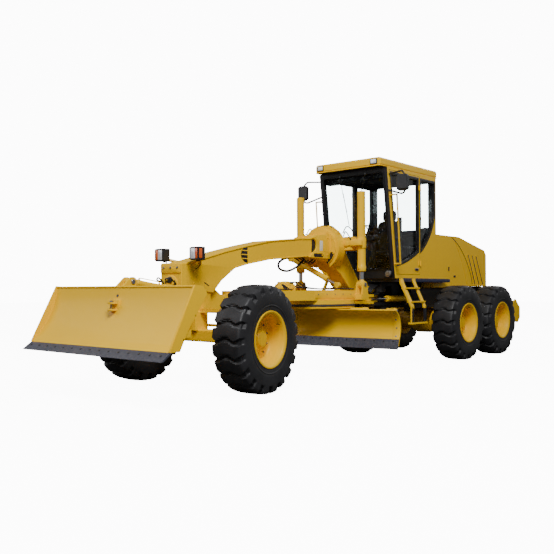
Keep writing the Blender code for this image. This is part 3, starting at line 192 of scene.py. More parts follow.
def frameStrip(outline, axis, low, high, width, outwards=1, material=0):
    # A ring between an outline and the same outline moved out (or in), with a low rounded section.
    outline = np.array(outline, float)
    after = np.roll(outline, -1, 0)
    if np.sum(outline[:, 0] * after[:, 1] - after[:, 0] * outline[:, 1]) < 0:
        outline = outline[::-1]
    section = [(0.0, low), (0.0, high - 0.0015), (0.06, high), (0.94, high), (1.0, high - 0.0015),
        (1.0, low)]
    rings = [placed(insetOf(outline, -outwards * width * share), axis, h) for share, h in section]
    points = np.array(rings)
    if (axis == "y") != (outwards < 0):
        points = points[::-1]
    return gridChunk(points, closeU=True, material=material)


def scattered(chunk, places, turn=None):
    # Copies of one chunk at many places, with one shared turn.
    points, faces, material = chunk
    if turn is not None:
        points = points @ np.array(turn).T
    places = np.array(places, float).reshape(-1, 3)
    every = (points[None] + places[:, None]).reshape(-1, 3)
    step = len(points)
    return every, [[v + n * step for v in face] for n in range(len(places)) for face in faces], material


def frameFor(direction):
    # Columns: two directions square to the given one, and the given one itself.
    d = np.array(direction, float) / np.linalg.norm(direction)
    a = np.cross((0, 0, 1) if abs(d[2]) < 0.9 else (1, 0, 0), d)
    a /= np.linalg.norm(a)
    return np.stack([a, np.cross(d, a), d], 1)


def bolts(places, direction, radius=0.012, height=0.008, sides=6, material=0):
    # Bolt heads with a washer: a low disc under a short prism whose rim is eased.
    washer = turned([(radius * 1.35, 0), (radius * 1.35, height * 0.22), (radius * 1.25, height * 0.25)],
        (0, 0, 0), (0, 0, 1), 14)
    head = turned(
        [(radius, height * 0.2), (radius, height * 0.85), (radius * 0.88, height)], (0, 0, 0), (0, 0, 1),
        sides
    )
    both = joinedChunks([washer, head])
    return scattered((both[0], both[1], material), places, frameFor(direction))


def joinedChunks(chunks):
    points, faces, start = [], [], 0
    for p, f, _ in chunks:
        points.append(p)
        faces += [[v + start for v in face] for face in f]
        start += len(p)
    return np.vstack(points), faces, chunks[0][2]


def moved(chunk, turn=0.0, about=(0, 0, 0), shift=(0, 0, 0), axis="z"):
    # A chunk turned about an upright or crosswise axis through a point, then shifted.
    points, faces, material = chunk
    c, s = math.cos(turn), math.sin(turn)
    spin = {"z": [[c, -s, 0], [s, c, 0], [0, 0, 1]], "x": [[1, 0, 0], [0, c, -s], [0, s, c]],
        "y": [[c, 0, s], [0, 1, 0], [-s, 0, c]]}
    about = np.array(about, float)
    return (points - about) @ np.array(spin[axis]).T + about + np.array(shift), faces, material


def mirrored(chunk):
    points, faces, material = chunk
    return points * [-1, 1, 1], [face[::-1] for face in faces], material


def sided(x, chunk):
    # A chunk made for the left side: kept there, or mirrored for the right, where x is negative.
    return chunk if x > 0 else mirrored(chunk)


def piece(name, body, chunks, materials, stands=(), smooth=None):
    # One finished piece: its chunks in one mesh, at the origin, riding on a body.
    points, faces, numbers, start = [], [], [], 0
    for p, f, number in chunks:
        points.append(p)
        faces += [[v + start for v in face] for face in f]
        numbers += [number] * len(f)
        start += len(p)
    mesh = bpy.data.meshes.new(name)
    mesh.from_pydata(np.vstack(points).tolist(), [], faces)
    mesh.polygons.foreach_set("material_index", np.array(numbers, np.int32))
    mesh.polygons.foreach_set("use_smooth", np.ones(len(faces), bool))
    mesh.update()
    mesh.set_sharp_from_angle(angle=smooth or layout["smoothAngle"])
    made = bpy.data.objects.new(name, mesh)
    bpy.context.scene.collection.objects.link(made)
    for material in materials if isinstance(materials, (list, tuple)) else [materials]:
        mesh.materials.append(material)
    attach(made, body)
    if stands:
        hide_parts(*stands)
    return made


# Finishes.


def newGroup(name, inputs, outputs):
    group = bpy.data.node_groups.new(name, "ShaderNodeTree")
    for label, value in inputs:
        socket = group.interface.new_socket(label, in_out="INPUT", socket_type="NodeSocketFloat")
        socket.default_value = value
    for label in outputs:
        group.interface.new_socket(label, in_out="OUTPUT", socket_type="NodeSocketFloat")
    return group, group.nodes.new("NodeGroupInput"), group.nodes.new("NodeGroupOutput")


def mathNode(tree, operation, a, b=None, clamp=False):
    node = tree.nodes.new("ShaderNodeMath")
    node.operation = operation
    node.use_clamp = clamp
    for socket, value in zip(node.inputs, (a, b)):
        if isinstance(value, (int, float)):
            socket.default_value = value
        elif value is not None:
            tree.links.new(value, socket)
    return node.outputs[0]


def rangeNode(tree, value, fromLow, fromHigh, toLow=0.0, toHigh=1.0):
    node = tree.nodes.new("ShaderNodeMapRange")
    tree.links.new(value, node.inputs["Value"])
    for label, number in (("From Min", fromLow), ("From Max", fromHigh), ("To Min", toLow),
        ("To Max", toHigh)):
        node.inputs[label].default_value = number
    return node.outputs["Result"]


def noiseNode(tree, coordinate, scale, detail=3.0, rough=0.55):
    node = tree.nodes.new("ShaderNodeTexNoise")
    tree.links.new(coordinate, node.inputs["Vector"])
    if isinstance(scale, (int, float)):
        node.inputs["Scale"].default_value = scale
    else:
        tree.links.new(scale, node.inputs["Scale"])
    node.inputs["Detail"].default_value = detail
    node.inputs["Roughness"].default_value = rough
    return node.outputs["Fac"]


def objectCoordinate(tree):
    return tree.nodes.new("ShaderNodeTexCoord").outputs["Object"]


def toneGroup():
    # Tone: slow colour drift over the piece. Gloss: its change in roughness. Height: fine spray texture.
    group, start, end = newGroup("surfaceTone", [("Drift Scale", 1.5), ("Grain Scale", 220.0)],
        ["Tone", "Gloss", "Height"])
    at = objectCoordinate(group)
    drift = noiseNode(group, at, start.outputs["Drift Scale"], 4.0)
    group.links.new(rangeNode(group, drift, 0.35, 0.65), end.inputs["Tone"])
    streak = noiseNode(group, at, 9.0, 5.0, 0.65)
    group.links.new(rangeNode(group, streak, 0.3, 0.7, -0.5, 0.5), end.inputs["Gloss"])
    group.links.new(noiseNode(group, at, start.outputs["Grain Scale"], 2.0), end.inputs["Height"])
    return group


def wearGroup():
    # Mask: corners that stand out (the mesh's pointiness), broken up by noise.
    group, start, end = newGroup("edgeWear", [("Reach", 0.5)], ["Mask"])
    point = group.nodes.new("ShaderNodeNewGeometry").outputs["Pointiness"]
    corner = rangeNode(group, point, 0.52, 0.62)
    broken = rangeNode(group, noiseNode(group, objectCoordinate(group), 35.0, 6.0, 0.7), 0.45, 0.62)
    both = mathNode(group, "MULTIPLY", corner, broken, clamp=True)
    group.links.new(mathNode(group, "MULTIPLY", both, start.outputs["Reach"], clamp=True),
        end.inputs["Mask"])
    return group


def dustGroup():
    # Mask: faces that look up, and everything near the ground, both cloudy.
    group, start, end = newGroup("dustLayer", [("Amount", 0.2), ("Ground Height", 0.7)], ["Mask"])
    geometry = group.nodes.new("ShaderNodeNewGeometry")
    split = group.nodes.new("ShaderNodeSeparateXYZ")
    group.links.new(geometry.outputs["Normal"], split.inputs[0])
    up = rangeNode(group, split.outputs["Z"], 0.3, 1.0, 0.0, 0.6)
    at = objectCoordinate(group)
    place = group.nodes.new("ShaderNodeSeparateXYZ")
    group.links.new(at, place.inputs[0])
    share = mathNode(group, "DIVIDE", place.outputs["Z"], start.outputs["Ground Height"])
    low = mathNode(group, "SUBTRACT", 1.0, share, clamp=True)
    cloud = rangeNode(group, noiseNode(group, at, 4.0, 6.0, 0.7), 0.4, 0.7)
    total = mathNode(group, "MULTIPLY", mathNode(group, "ADD", up, low), cloud, clamp=True)
    group.links.new(mathNode(group, "MULTIPLY", total, start.outputs["Amount"], clamp=True),
        end.inputs["Mask"])
    return group


def weaveGroup():
    # Height: two crossed sets of threads, one over the other.
    group, start, end = newGroup("threadWeave", [("Threads", 400.0)], ["Height"])
    split = group.nodes.new("ShaderNodeSeparateXYZ")
    group.links.new(objectCoordinate(group), split.inputs[0])
    across = mathNode(group, "SINE", mathNode(group, "MULTIPLY", split.outputs["X"],
        start.outputs["Threads"]))
    slant = mathNode(group, "ADD", split.outputs["Y"], split.outputs["Z"])
    along = mathNode(group, "SINE", mathNode(group, "MULTIPLY", slant, start.outputs["Threads"]))
    group.links.new(mathNode(group, "MULTIPLY", across, along), end.inputs["Height"])
    return group


groups = {"tone": toneGroup(), "wear": wearGroup(), "dust": dustGroup(), "weave": weaveGroup()}
print("node groups made:", len(groups))


def useGroup(tree, key, **values):
    node = tree.nodes.new("ShaderNodeGroup")
    node.node_tree = groups[key]
    for label, value in values.items():
        node.inputs[label.replace("_", " ")].default_value = value
    return node


def mixColours(tree, share, a, b):
    node = tree.nodes.new("ShaderNodeMix")
    node.data_type = "RGBA"
    tree.links.new(share, node.inputs[0])
    for socket, value in ((node.inputs[6], a), (node.inputs[7], b)):
        if isinstance(value, tuple):
            socket.default_value = (*value, 1)
        else:
            tree.links.new(value, socket)
    return node.outputs[2]


def finish(name, base, second, rough=0.4, metallic=0.0, coat=0.0, driftScale=1.5, grainScale=220.0,
    bump=0.02,
           bumpDepth=0.0005, glossChange=0.08, wear=0.0, wornColour=(0.2, 0.2, 0.2), dust=0.0,
           groundHeight=0.7,
           dustColour=(0.32, 0.27, 0.2), specular=0.5, weave=0.0, sheen=0.0, emission=None):
    # Base and second colour drift into each other, then worn corners and dust go over them.
    material = bpy.data.materials.new(name)
    material.use_nodes = True
    tree = material.node_tree
    shader = tree.nodes["Principled BSDF"]
    tone = useGroup(tree, "tone", Drift_Scale=driftScale, Grain_Scale=grainScale)
    colour = mixColours(tree, tone.outputs["Tone"], base, second)
    if wear:
        colour = mixColours(tree, useGroup(tree, "wear", Reach=wear).outputs["Mask"], colour, wornColour)
    roughness = mathNode(tree, "MULTIPLY_ADD", tone.outputs["Gloss"], glossChange)
    roughness.node.inputs[2].default_value = rough
    if dust:
        mask = useGroup(tree, "dust", Amount=dust, Ground_Height=groundHeight).outputs["Mask"]
        colour = mixColours(tree, mask, colour, dustColour)
        roughness = mathNode(tree, "ADD", roughness, mathNode(tree, "MULTIPLY", mask, 0.3), clamp=True)
    tree.links.new(colour, shader.inputs["Base Color"])
    tree.links.new(roughness, shader.inputs["Roughness"])
    height = tone.outputs["Height"]
    if weave:
        threads = useGroup(tree, "weave", Threads=weave).outputs["Height"]
        height = mathNode(tree, "ADD", height, threads)
    raised = tree.nodes.new("ShaderNodeBump")
    raised.inputs["Strength"].default_value = bump
    raised.inputs["Distance"].default_value = bumpDepth
    tree.links.new(height, raised.inputs["Height"])
    tree.links.new(raised.outputs["Normal"], shader.inputs["Normal"])
    shader.inputs["Metallic"].default_value = metallic
    shader.inputs["Coat Weight"].default_value = coat
    shader.inputs["Coat Roughness"].default_value = 0.08
    shader.inputs["Specular IOR Level"].default_value = specular
    shader.inputs["Sheen Weight"].default_value = sheen
    if emission:
        shader.inputs["Emission Color"].default_value = (*emission[0], 1)
        shader.inputs["Emission Strength"].default_value = emission[1]
    return material


yellowPaint = finish("yellowPaint", (0.98, 0.58, 0.0), (0.95, 0.555, 0.0), rough=0.40, coat=0.06,
    specular=0.22, bump=0.12,
                     bumpDepth=0.0006, wear=0.25, wornColour=(0.60, 0.34, 0.02), dust=0.05)
# A darker copy of the yellow paint: painted shade for the frame parts, axles and caps that sit low, under
# the machine.
shadePaint = finish("paintedShadeYellow", (0.84, 0.46, 0.0), (0.76, 0.41, 0.0), rough=0.42, coat=0.05,
    specular=0.3, bump=0.15,
                    driftScale=3.0, wear=0.3, wornColour=(0.45, 0.25, 0.03), dust=0.12)
blackPaint = finish("satinBlack", (0.012, 0.012, 0.014), (0.02, 0.02, 0.022), rough=0.38, bump=0.15,
    wear=0.3,
                    wornColour=(0.07, 0.07, 0.075), dust=0.05)
tyreRubber = finish("tyreRubber", (0.012, 0.012, 0.014), (0.022, 0.022, 0.025), rough=0.55, driftScale=5.0,
                    grainScale=90.0, bump=0.35, bumpDepth=0.0012, glossChange=0.22, wear=0.6,
                    wornColour=(0.05, 0.05, 0.055), dust=0.10, groundHeight=0.25,
                    dustColour=(0.10, 0.095, 0.09))
hoseRubber = finish("hoseRubber", (0.01, 0.01, 0.011), (0.018, 0.018, 0.02), rough=0.42, grainScale=500.0,
    bump=0.3)
wearSteel = finish("wearSteel", (0.085, 0.090, 0.125), (0.100, 0.105, 0.140), rough=0.42, metallic=0.6,
                   driftScale=2.0, grainScale=220.0, bump=0.25, bumpDepth=0.0006, glossChange=0.12,
                   wear=0.8,
                   wornColour=(0.22, 0.23, 0.26), dust=0.05)
chrome = finish("chromeRod", (0.78, 0.78, 0.80), (0.70, 0.70, 0.72), rough=0.10, metallic=1.0,
    grainScale=700.0,
                bump=0.04, glossChange=0.06)
zinc = finish("zincPlate", (0.42, 0.41, 0.38), (0.30, 0.29, 0.27), rough=0.38, metallic=0.9,
    driftScale=20.0, bump=0.2)
castIron = finish("castIron", (0.035, 0.036, 0.040), (0.055, 0.055, 0.058), rough=0.62, grainScale=140.0,
    bump=0.6,
                  bumpDepth=0.0015, dust=0.2)
plastic = finish("mouldedPlastic", (0.014, 0.014, 0.015), (0.020, 0.020, 0.022), rough=0.52,
    grainScale=600.0,
                 bump=0.5, bumpDepth=0.0005)
seal = finish("windowSeal", (0.006, 0.006, 0.007), (0.010, 0.010, 0.011), rough=0.30, grainScale=300.0,
    bump=0.1)
seatCloth = finish("seatCloth", (0.020, 0.021, 0.024), (0.032, 0.033, 0.037), rough=0.85, driftScale=9.0,
    bump=0.8,
                   bumpDepth=0.0008, weave=900.0, sheen=0.3)
deckPaint = finish("deckEdge", (0.010, 0.012, 0.045), (0.016, 0.018, 0.060), rough=0.4, bump=0.2, wear=0.4,
                   wornColour=(0.08, 0.08, 0.12), dust=0.1)
gripPlate = finish("gripPlate", (0.03, 0.03, 0.032), (0.045, 0.045, 0.048), rough=0.6, grainScale=120.0,
    bump=0.8,
                   bumpDepth=0.002, dust=0.2)
mirrorGlass = finish("mirrorGlass", (0.65, 0.67, 0.70), (0.62, 0.64, 0.67), rough=0.04, metallic=1.0,
    bump=0.0,
                     glossChange=0.0)
amber = finish("amberLens", (0.80, 0.14, 0.01), (0.70, 0.10, 0.01), rough=0.15, coat=0.8, grainScale=60.0,
    bump=0.3)
redLens = finish("redLens", (0.55, 0.02, 0.01), (0.45, 0.015, 0.01), rough=0.15, coat=0.8,
    grainScale=60.0, bump=0.3)
lampFace = finish("lampFace", (0.80, 0.82, 0.85), (0.62, 0.65, 0.70), rough=0.12, metallic=0.3, coat=1.0,
                  driftScale=30.0, grainScale=40.0, bump=0.4, emission=((0.9, 0.95, 1.0), 0.15))
labelWhite = finish("blankPlate", (0.80, 0.80, 0.70), (0.74, 0.75, 0.66), rough=0.3, coat=0.3, bump=0.05)


def glassFinish(name, tint, rough=0.0):
    material = bpy.data.materials.new(name)
    material.use_nodes = True
    tree = material.node_tree
    shader = tree.nodes["Principled BSDF"]
    tone = useGroup(tree, "tone", Drift_Scale=2.0, Grain_Scale=30.0)
    tree.links.new(mixColours(tree, tone.outputs["Tone"], tint, tuple(c * 0.96 for c in tint)),
        shader.inputs["Base Color"])
    roughness = rangeNode(tree, tone.outputs["Gloss"], -0.5, 0.5, rough, rough + 0.02)
    tree.links.new(roughness, shader.inputs["Roughness"])
    shader.inputs["Transmission Weight"].default_value = 1.0
    shader.inputs["IOR"].default_value = 1.45
    return material


cabGlass = glassFinish("cabGlass", (0.90, 0.96, 0.97))
print("materials made:", len(bpy.data.materials))

# Structure: each CAD shape with its edges eased, in its own finishes.


def centresAndNormals(mesh):
    centres = np.empty(len(mesh.polygons) * 3)
    normals = np.empty(len(mesh.polygons) * 3)
    mesh.polygons.foreach_get("center", centres)
    mesh.polygons.foreach_get("normal", normals)
    return centres.reshape(-1, 3), normals.reshape(-1, 3)


def eased(node, body, materials, width=0.004, regions=(), steps=2):
    # A merged copy of a CAD node with rounded edges.
    # regions give (material number, test of centres and normals).
    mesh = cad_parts[node].data.copy()
    shape = bmesh.new()
    shape.from_mesh(mesh)
    bmesh.ops.remove_doubles(shape, verts=shape.verts, dist=0.00002)
    bmesh.ops.dissolve_limit(shape, angle_limit=math.radians(0.6), verts=shape.verts, edges=shape.edges)
    shape.to_mesh(mesh)
    shape.free()
    mesh.materials.clear()
    for material in materials:
        mesh.materials.append(material)
    centres, normals = centresAndNormals(mesh)
    numbers = np.zeros(len(mesh.polygons), np.int32)
    for number, test in regions:
        numbers[test(centres, normals)] = number
    mesh.polygons.foreach_set("material_index", numbers)
    mesh.polygons.foreach_set("use_smooth", np.ones(len(numbers), bool))
    mesh.set_sharp_from_angle(angle=layout["smoothAngle"])
    made = bpy.data.objects.new(node + "_shell", mesh)
    bpy.context.scene.collection.objects.link(made)
    if width:
        soften = made.modifiers.new("easedEdges", "BEVEL")
        soften.width = width
        soften.segments = steps
        soften.limit_method = "ANGLE"
        soften.angle_limit = layout["smoothAngle"]
        soften.harden_normals = True
        soften.use_clamp_overlap = True
    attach(made, body)
    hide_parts(node)
    return made


axleY = boxOf("front_axle")[0][1] + 0.12
bodyLow, bodyHigh = boxOf("cab_body")
deckTop = bodyLow[2]


def cabFrontY(z):
    # The cab's front leans forward as it rises.
    return cab["frontLowY"] - cab["lean"] * (z - deckTop) / (bodyHigh[2] - deckTop)


cab = {"half": 0.70, "lean": 0.24, "frontLowY": 0.515, "rearY": bodyHigh[1], "postY": 1.36}
lampLow = np.array([0.338 - 0.086, axleY - 0.25 - 0.061, 1.737 - 0.086])
lampHigh = np.array([0.338 + 0.086, axleY - 0.25 + 0.061, 1.737 + 0.086])


def isLamp(c, n):
    x = np.abs(c[:, 0])
    return (x > lampLow[0]) & (x < lampHigh[0]) & (c[:, 1] > lampLow[1]) & (c[:, 1] < lampHigh[1]) & (c[:,
        2] > lampLow[2])


def isInCab(c, n):
    front = np.array([cabFrontY(z) for z in c[:, 2]])
    inside = (np.abs(c[:, 0]) < cab["half"] - 0.001) & (c[:, 1] > front + 0.002) & (c[:,
        1] < cab["rearY"] - 0.001)
    return inside & (c[:, 2] > deckTop + 0.001)


def isCabFront(c, n):
    return (n[:, 1] < -0.8) & (c[:, 1] < 0.52) & (c[:, 2] > deckTop + 0.1) & (np.abs(c[:, 0]) < 0.701)


def isMirror(c, n):
    x = np.abs(c[:, 0])
    return ((x > 0.701) & (c[:, 2] > 2.87)) | (x > 0.862)


for node, body, width in (
    ("front_frame", "front", 0.006),
    ("drawbar", "drawbar", 0.005),
    ("circle", "circle", 0.004),
    ("moldboard", "moldboard", 0.003),
    ("dozer_blade", "dozer", 0.004),
    ("cab_roof", "rear", 0.008),
    ("hood_front", "rear", 0.008),
    ("hood_rear", "hood_rear", 0.008),
    ("door_left", "door_left", 0.002),
    ("door_right", "door_right", 0.002),
    ("front_axle", "front", 0.006),
    ("ripper_beam", "ripper", 0.004),
    ("cab_body", "rear", 0.003),
):
    regions = []
    if node == "front_frame":
        regions = [(1, isLamp)]
    if node == "cab_body":
        regions = [(1, isInCab), (1, isCabFront), (1, isMirror)]
    if node.startswith("door"):
        regions = [(1, lambda c, n: (np.abs(c[:, 0]) < cab["half"] - 0.001))]
    if node == "ripper_beam":
        regions = [(1, lambda c, n: c[:, 2] < 0.54)]
    if node == "hood_front":
        regions = [(1, lambda c, n: c[:, 2] > 2.31)]
    if node == "cab_roof":
        regions = [(1, lambda c, n: n[:, 2] < -0.9)]
    eased(node, body, [yellowPaint, blackPaint], width, regions)
# The rear frame takes the black paint; here the black is also painted shade, darkening the space under the
# cab.
for node, body, width in (("rear_frame", "rear", 0.005), ("tandem_axle", "rear", 0.006),
    ("knuckle_left", "knuckle_left", 0.004),
                          ("knuckle_right", "knuckle_right", 0.004), ("tie_rod", "tie_rod", 0.003)):
    # The axles, knuckles and tie rod take the darker yellow, which is painted shade.
    eased(node, body, [blackPaint if node == "rear_frame" else shadePaint], width)
for side in ("left", "right"):
    eased("ladder_" + side, "rear", [yellowPaint, hoseRubber], 0.003,
          [(1, lambda c, n: (c[:, 2] < 0.955) & (c[:, 2] > 0.725))])
eased("engine_block", "rear", [castIron], 0.012)
eased("moldboard_edge", "moldboard", [wearSteel], 0.002)
eased("dozer_edge", "dozer", [wearSteel], 0.002)
for node, body in (("windshield", "rear"), ("rear_glass", "rear"), ("door_glass_left", "door_left"),
    ("door_glass_right", "door_right")):
    eased(node, body, [cabGlass], 0)
print("eased shells made")

# Wheels.

tyre = {
    "lugs": 20, "around": 22, "grooveDepth": 0.040, "grooveHalf": 0.020, "shoulderHalf": 0.042,
    "wave": 0.026,
    "profile": [(0.326, 0.196), (0.345, 0.203), (0.38, 0.211), (0.44, 0.2195), (0.50, 0.2215),
    (0.55, 0.218),
                (0.59, 0.211), (0.62, 0.205), (0.640, 0.199), (0.654, 0.187), (0.661, 0.165),
                (0.666, 0.12), (0.669, 0.06)],
}


def tyreChunk():
    # The cross-section (radius, distance across) goes round the axle. The radius drops by the groove's
    # depth wherever the angle is near a groove line, which zigzags three times across the tread, and the
    # grooves widen and run down over the shoulders.
    half = np.array(tyre["profile"])
    ridge = np.array([[0.404, 0.2125], [0.410, 0.2185], [0.418, 0.2190], [0.424, 0.2150]])
    half = np.vstack([half[:3], ridge, half[3:]])
    t = np.linspace(0, 1, len(half))
    fine = np.linspace(0, 1, 34)
    half = np.stack([np.interp(fine, t, half[:, 0]), np.interp(fine, t, half[:, 1])], 1)
    across = np.vstack([half, [[0.6695, 0.0]], (half * [1, -1])[::-1]])
    inside = np.array([[0.324, -0.12], [0.324, 0.0], [0.324, 0.12]])
    section = np.vstack([across, inside])
    count = tyre["lugs"] * tyre["around"]
    angle = np.linspace(0, 2 * math.pi, count, endpoint=False)[:, None]
    radius, x = section[None, :, 0], section[None, :, 1]
    pitch = 2 * math.pi / tyre["lugs"]
    zigzag = np.cos(x / 0.205 * 1.5 * math.pi) + 0.35 * np.cos(x / 0.205 * 0.5 * math.pi)
    line = angle * 0.67 + zigzag * tyre["wave"]
    away = np.abs((line / 0.67 / pitch + 0.5) % 1 - 0.5) * pitch * 0.67
    outer = np.clip((np.abs(x) - 0.11) / 0.09, 0, 1)
    halfWidth = tyre["grooveHalf"] + (tyre["shoulderHalf"] - tyre["grooveHalf"]) * outer
    cut = np.clip((halfWidth + 0.005 - away) / 0.009, 0, 1)
    cut = cut * cut * (3 - 2 * cut)
    down = np.clip((radius - 0.560) / 0.06, 0, 1)
    depth = cut * down * tyre["grooveDepth"] * (0.72 + 0.55 * outer)
    inward = np.clip((np.abs(x) - 0.175) / 0.03, 0, 1)
    r = radius - depth * (1 - 0.25 * inward)
    xx = x * (1 - depth * inward * 2.2)
    points = np.stack([xx + 0 * angle, r * np.cos(angle), r * np.sin(angle)], -1)
    return gridChunk(points, closeU=True)


rim = {
    "nuts": 10, "nutRing": 0.205,
    "outer": [(0.10, -0.078), (0.27, -0.078), (0.298, -0.213), (0.350, -0.2145), (0.352, -0.205),
    (0.330, -0.196), (0.3195, -0.18),
              (0.3195, 0.18), (0.330, 0.196), (0.352, 0.205), (0.351, 0.213), (0.344, 0.2148),
              (0.334, 0.2135), (0.322, 0.207),
              (0.312, 0.200), (0.306, 0.190), (0.303, 0.160), (0.297, 0.148), (0.293, 0.10),
              (0.284, 0.03), (0.272, 0.006),
              (0.262, 0.000), (0.245, 0.000), (0.238, 0.006), (0.185, 0.014), (0.150, 0.016),
              (0.142, 0.022), (0.139, 0.05),
              (0.134, 0.056), (0.112, 0.058), (0.108, 0.062), (0.104, 0.074), (0.090, 0.088),
              (0.055, 0.094), (0.02, 0.095)],
}


def wheelPieces(place, side):
    node = f"{place}_{side}"
    body = f"{place}_wheel_{side}"
    low, high = boxOf("tyre_" + node)
    centre = (low + high) / 2
    flip = 1 if side == "left" else -1
    turn = layout["steer"] if place == "front" else 0.0
    spin = {"front": 0.30, "middle": 0.9, "rear": 1.7}[place]

    def set(chunk, about=centre):
        points, faces, material = chunk
        c, s = math.cos(spin), math.sin(spin)
        points = points @ np.array([[1, 0, 0], [0, c, -s], [0, s, c]]).T * [flip, 1, 1]
        if flip < 0:
            faces = [face[::-1] for face in faces]
        c, s = math.cos(turn), math.sin(turn)
        return points @ np.array([[c, -s, 0], [s, c, 0], [0, 0, 1]]).T + about, faces, material

    piece("tyre_" + node + "_tread", body, [set(tyreChunk())], tyreRubber, ["tyre_" + node],
        math.radians(38))
    angle = np.arange(rim["nuts"]) * 2 * math.pi / rim["nuts"]
    ring = np.stack([np.full(len(angle), 0.0115), np.cos(angle) * rim["nutRing"],
        np.sin(angle) * rim["nutRing"]], 1)
    nuts = bolts(ring, (1, 0, 0), 0.0125, 0.016, material=1)
    cap = np.arange(6) * math.pi / 3
    capRing = np.stack([np.full(6, 0.0575), np.cos(cap) * 0.122, np.sin(cap) * 0.122], 1)
    chunks = [turned(rim["outer"], (0, 0, 0), (1, 0, 0), 72), nuts, bolts(capRing, (1, 0, 0), 0.007, 0.006)]
    valve = tube([(0.14, 0.262, 0.10), (0.17, 0.268, 0.10), (0.19, 0.262, 0.10)], 0.005, 8, 8, material=2)
    chunks.append(valve)
    piece("rim_" + node + "_disc", body, [set(c) for c in chunks], [yellowPaint, zinc, hoseRubber],
        ["rim_" + node])


for place in ("front", "middle", "rear"):
    for side in ("left", "right"):
        wheelPieces(place, side)
print("wheels made")

# Front frame.

beam = {"half": 0.17, "top": [(-0.36, 1.61), (-0.05, 1.68), (0.41, 1.80), (0.87, 1.90), (1.34, 1.99),
    (2.04, 2.06), (2.50, 2.087)],
        "bottom": [(0.61, 1.57), (0.87, 1.63), (1.34, 1.71), (2.21, 1.78), (2.50, 1.755)]}


def beamPieces():
    lips = []
    top = np.array([(0, axleY + y, z) for y, z in beam["top"]])
    for x in (-1, 1):
        edge = top + [x * (beam["half"] + 0.001), 0, -0.012]
        lips.append(carried(roundRect(-0.010, -0.010, 0.010, 0.010, 0.004, 3), edge, (0, 0, 1)))
        under = np.array([(x * (beam["half"] + 0.0005), axleY + y, z + 0.012) for y, z in beam["bottom"]])
        lips.append(carried(roundRect(-0.006, -0.009, 0.006, 0.009, 0.004, 3), under, (0, 0, 1)))
        joint = axleY + 0.87
        lips.append(block((x * 0.168, joint - 0.006, 1.645), (x * 0.1745, joint + 0.006, 1.885), 0.003,
            "x", 0.002))
        # A black arch on the beam's side behind three slats: painted shade for the opening behind them.
        angle = np.linspace(-math.pi / 2, -3 * math.pi / 2, 14)
        arch = [(joint - 0.008 + 0.135 * math.cos(a), 1.765 + 0.115 * math.sin(a)) for a in angle]
        lips.append(slab(arch, "x", x * 0.1695, x * 0.1712, 0.001, 1))
        for k in range(3):
            z = 1.765 + (k - 1) * 0.056
            reach = 1.15 * math.sqrt(0.115**2 - (z - 1.765) ** 2) - 0.008
            slat = block((x * 0.170, joint - 0.012 - reach, z - 0.007),
                (x * 0.1755, joint - 0.010, z + 0.007), 0.003, "x", 0.002)
            lips.append(slat)
        lips.append(bolts([(x * 0.1705, axleY - 0.16, z) for z in (1.36, 1.52)], (x, 0, 0), 0.011, 0.008))
        # A black slot, painted shade for a slot in the beam's side.
        slot = block((x * 0.1695, axleY + 0.02, 1.342), (x * 0.1715, axleY + 0.12, 1.356), 0.006, "x",
            0.001, 1)
        lips.append(moved(slot, -0.5, (0, axleY + 0.07, 1.35), axis="x"))
    noseFace = axleY - 0.40
    plate = roundRect(-0.19, 1.49, 0.19, 1.612, 0.012)
    lips.append(slab(plate, "y", noseFace - 0.010, noseFace + 0.004, 0.003))
    lips.append(bolts([(x, noseFace - 0.010, 1.56) for x in (-0.13, 0.0, 0.13)], (0, -1, 0), 0.013, 0.009,
        material=2))
    arch = [(0.13 * math.cos(a), 1.36 + 0.10 * math.sin(a)) for a in np.linspace(0, math.pi,
        16)] + [(-0.13, 1.235), (0.13, 1.235)]
    lips.append(slab(arch, "y", noseFace - 0.012, noseFace + 0.004, 0.004))
    # Two black slots and a black round cap on the nose: painted shade for its slots and hole.
    for x in (-0.085, 0.085):
        lips.append(block((x - 0.012, noseFace - 0.0135, 1.29), (x + 0.012, noseFace - 0.011, 1.40),
            0.011, "y", 0.001, 1))
    lips.append(turned([(0.045, 0), (0.045, 0.010), (0.038, 0.014), (0.02, 0.014)],
        (0, noseFace - 0.012, 1.40), (0, -1, 0), 32, 1))
    piece("frame_front_trim", "front", lips, [yellowPaint, blackPaint, zinc])


beamPieces()

lamp = {"half": 0.078}


def lampPieces():
    chunks = []
    y = lampLow[1] + 0.001
    for x in (-1, 1):
        c = x * 0.338
        z = 1.737
        outline = roundRect(c - lamp["half"], z - lamp["half"], c + lamp["half"], z + lamp["half"], 0.014)
        chunks.append(frameStrip(outline, "y", y - 0.010, y + 0.002, 0.010, -1, 0))
        lens = (min(c - x * 0.066, c + x * 0.018), max(c - x * 0.066, c + x * 0.018))
        chunks.append(block((lens[0], y - 0.007, z - 0.066), (lens[1], y + 0.003, z + 0.066), 0.010, "y",
            0.003, 1))
        side = (min(c + x * 0.024, c + x * 0.067), max(c + x * 0.024, c + x * 0.067))
        chunks.append(block((side[0], y - 0.008, z - 0.066), (side[1], y + 0.003, z + 0.066), 0.010, "y",
            0.003, 2))
        outer = c + x * 0.0845
        low, high = sorted((outer, outer + x * 0.006))
        chunks.append(block((low, y + 0.006, z - 0.062), (high, y + 0.055, z + 0.062), 0.010, "x", 0.003,
            2))
        cord = [(c, y + 0.10, z - 0.075), (c - x * 0.03, y + 0.14, z - 0.13),
            (c - x * 0.09, y + 0.17, z - 0.16), (x * 0.171, y + 0.19, z - 0.19)]
        chunks.append(tube(cord, 0.006, 8, 16, material=3))
        chunks.append(turned([(0.030, 0), (0.030, 0.01), (0.02, 0.014)],
            (c - x * 0.02, y + 0.085, z - 0.084), (0, 0, -1), 20, 0))
    piece("head_lamps", "front", chunks, [blackPaint, lampFace, amber, hoseRubber])


lampPieces()
print("front frame made")

# Saddle and lift cylinders.

saddleHigh = boxOf("saddle")[1]
saddle = {"y": saddleHigh[1] - 0.05, "z": 1.95}


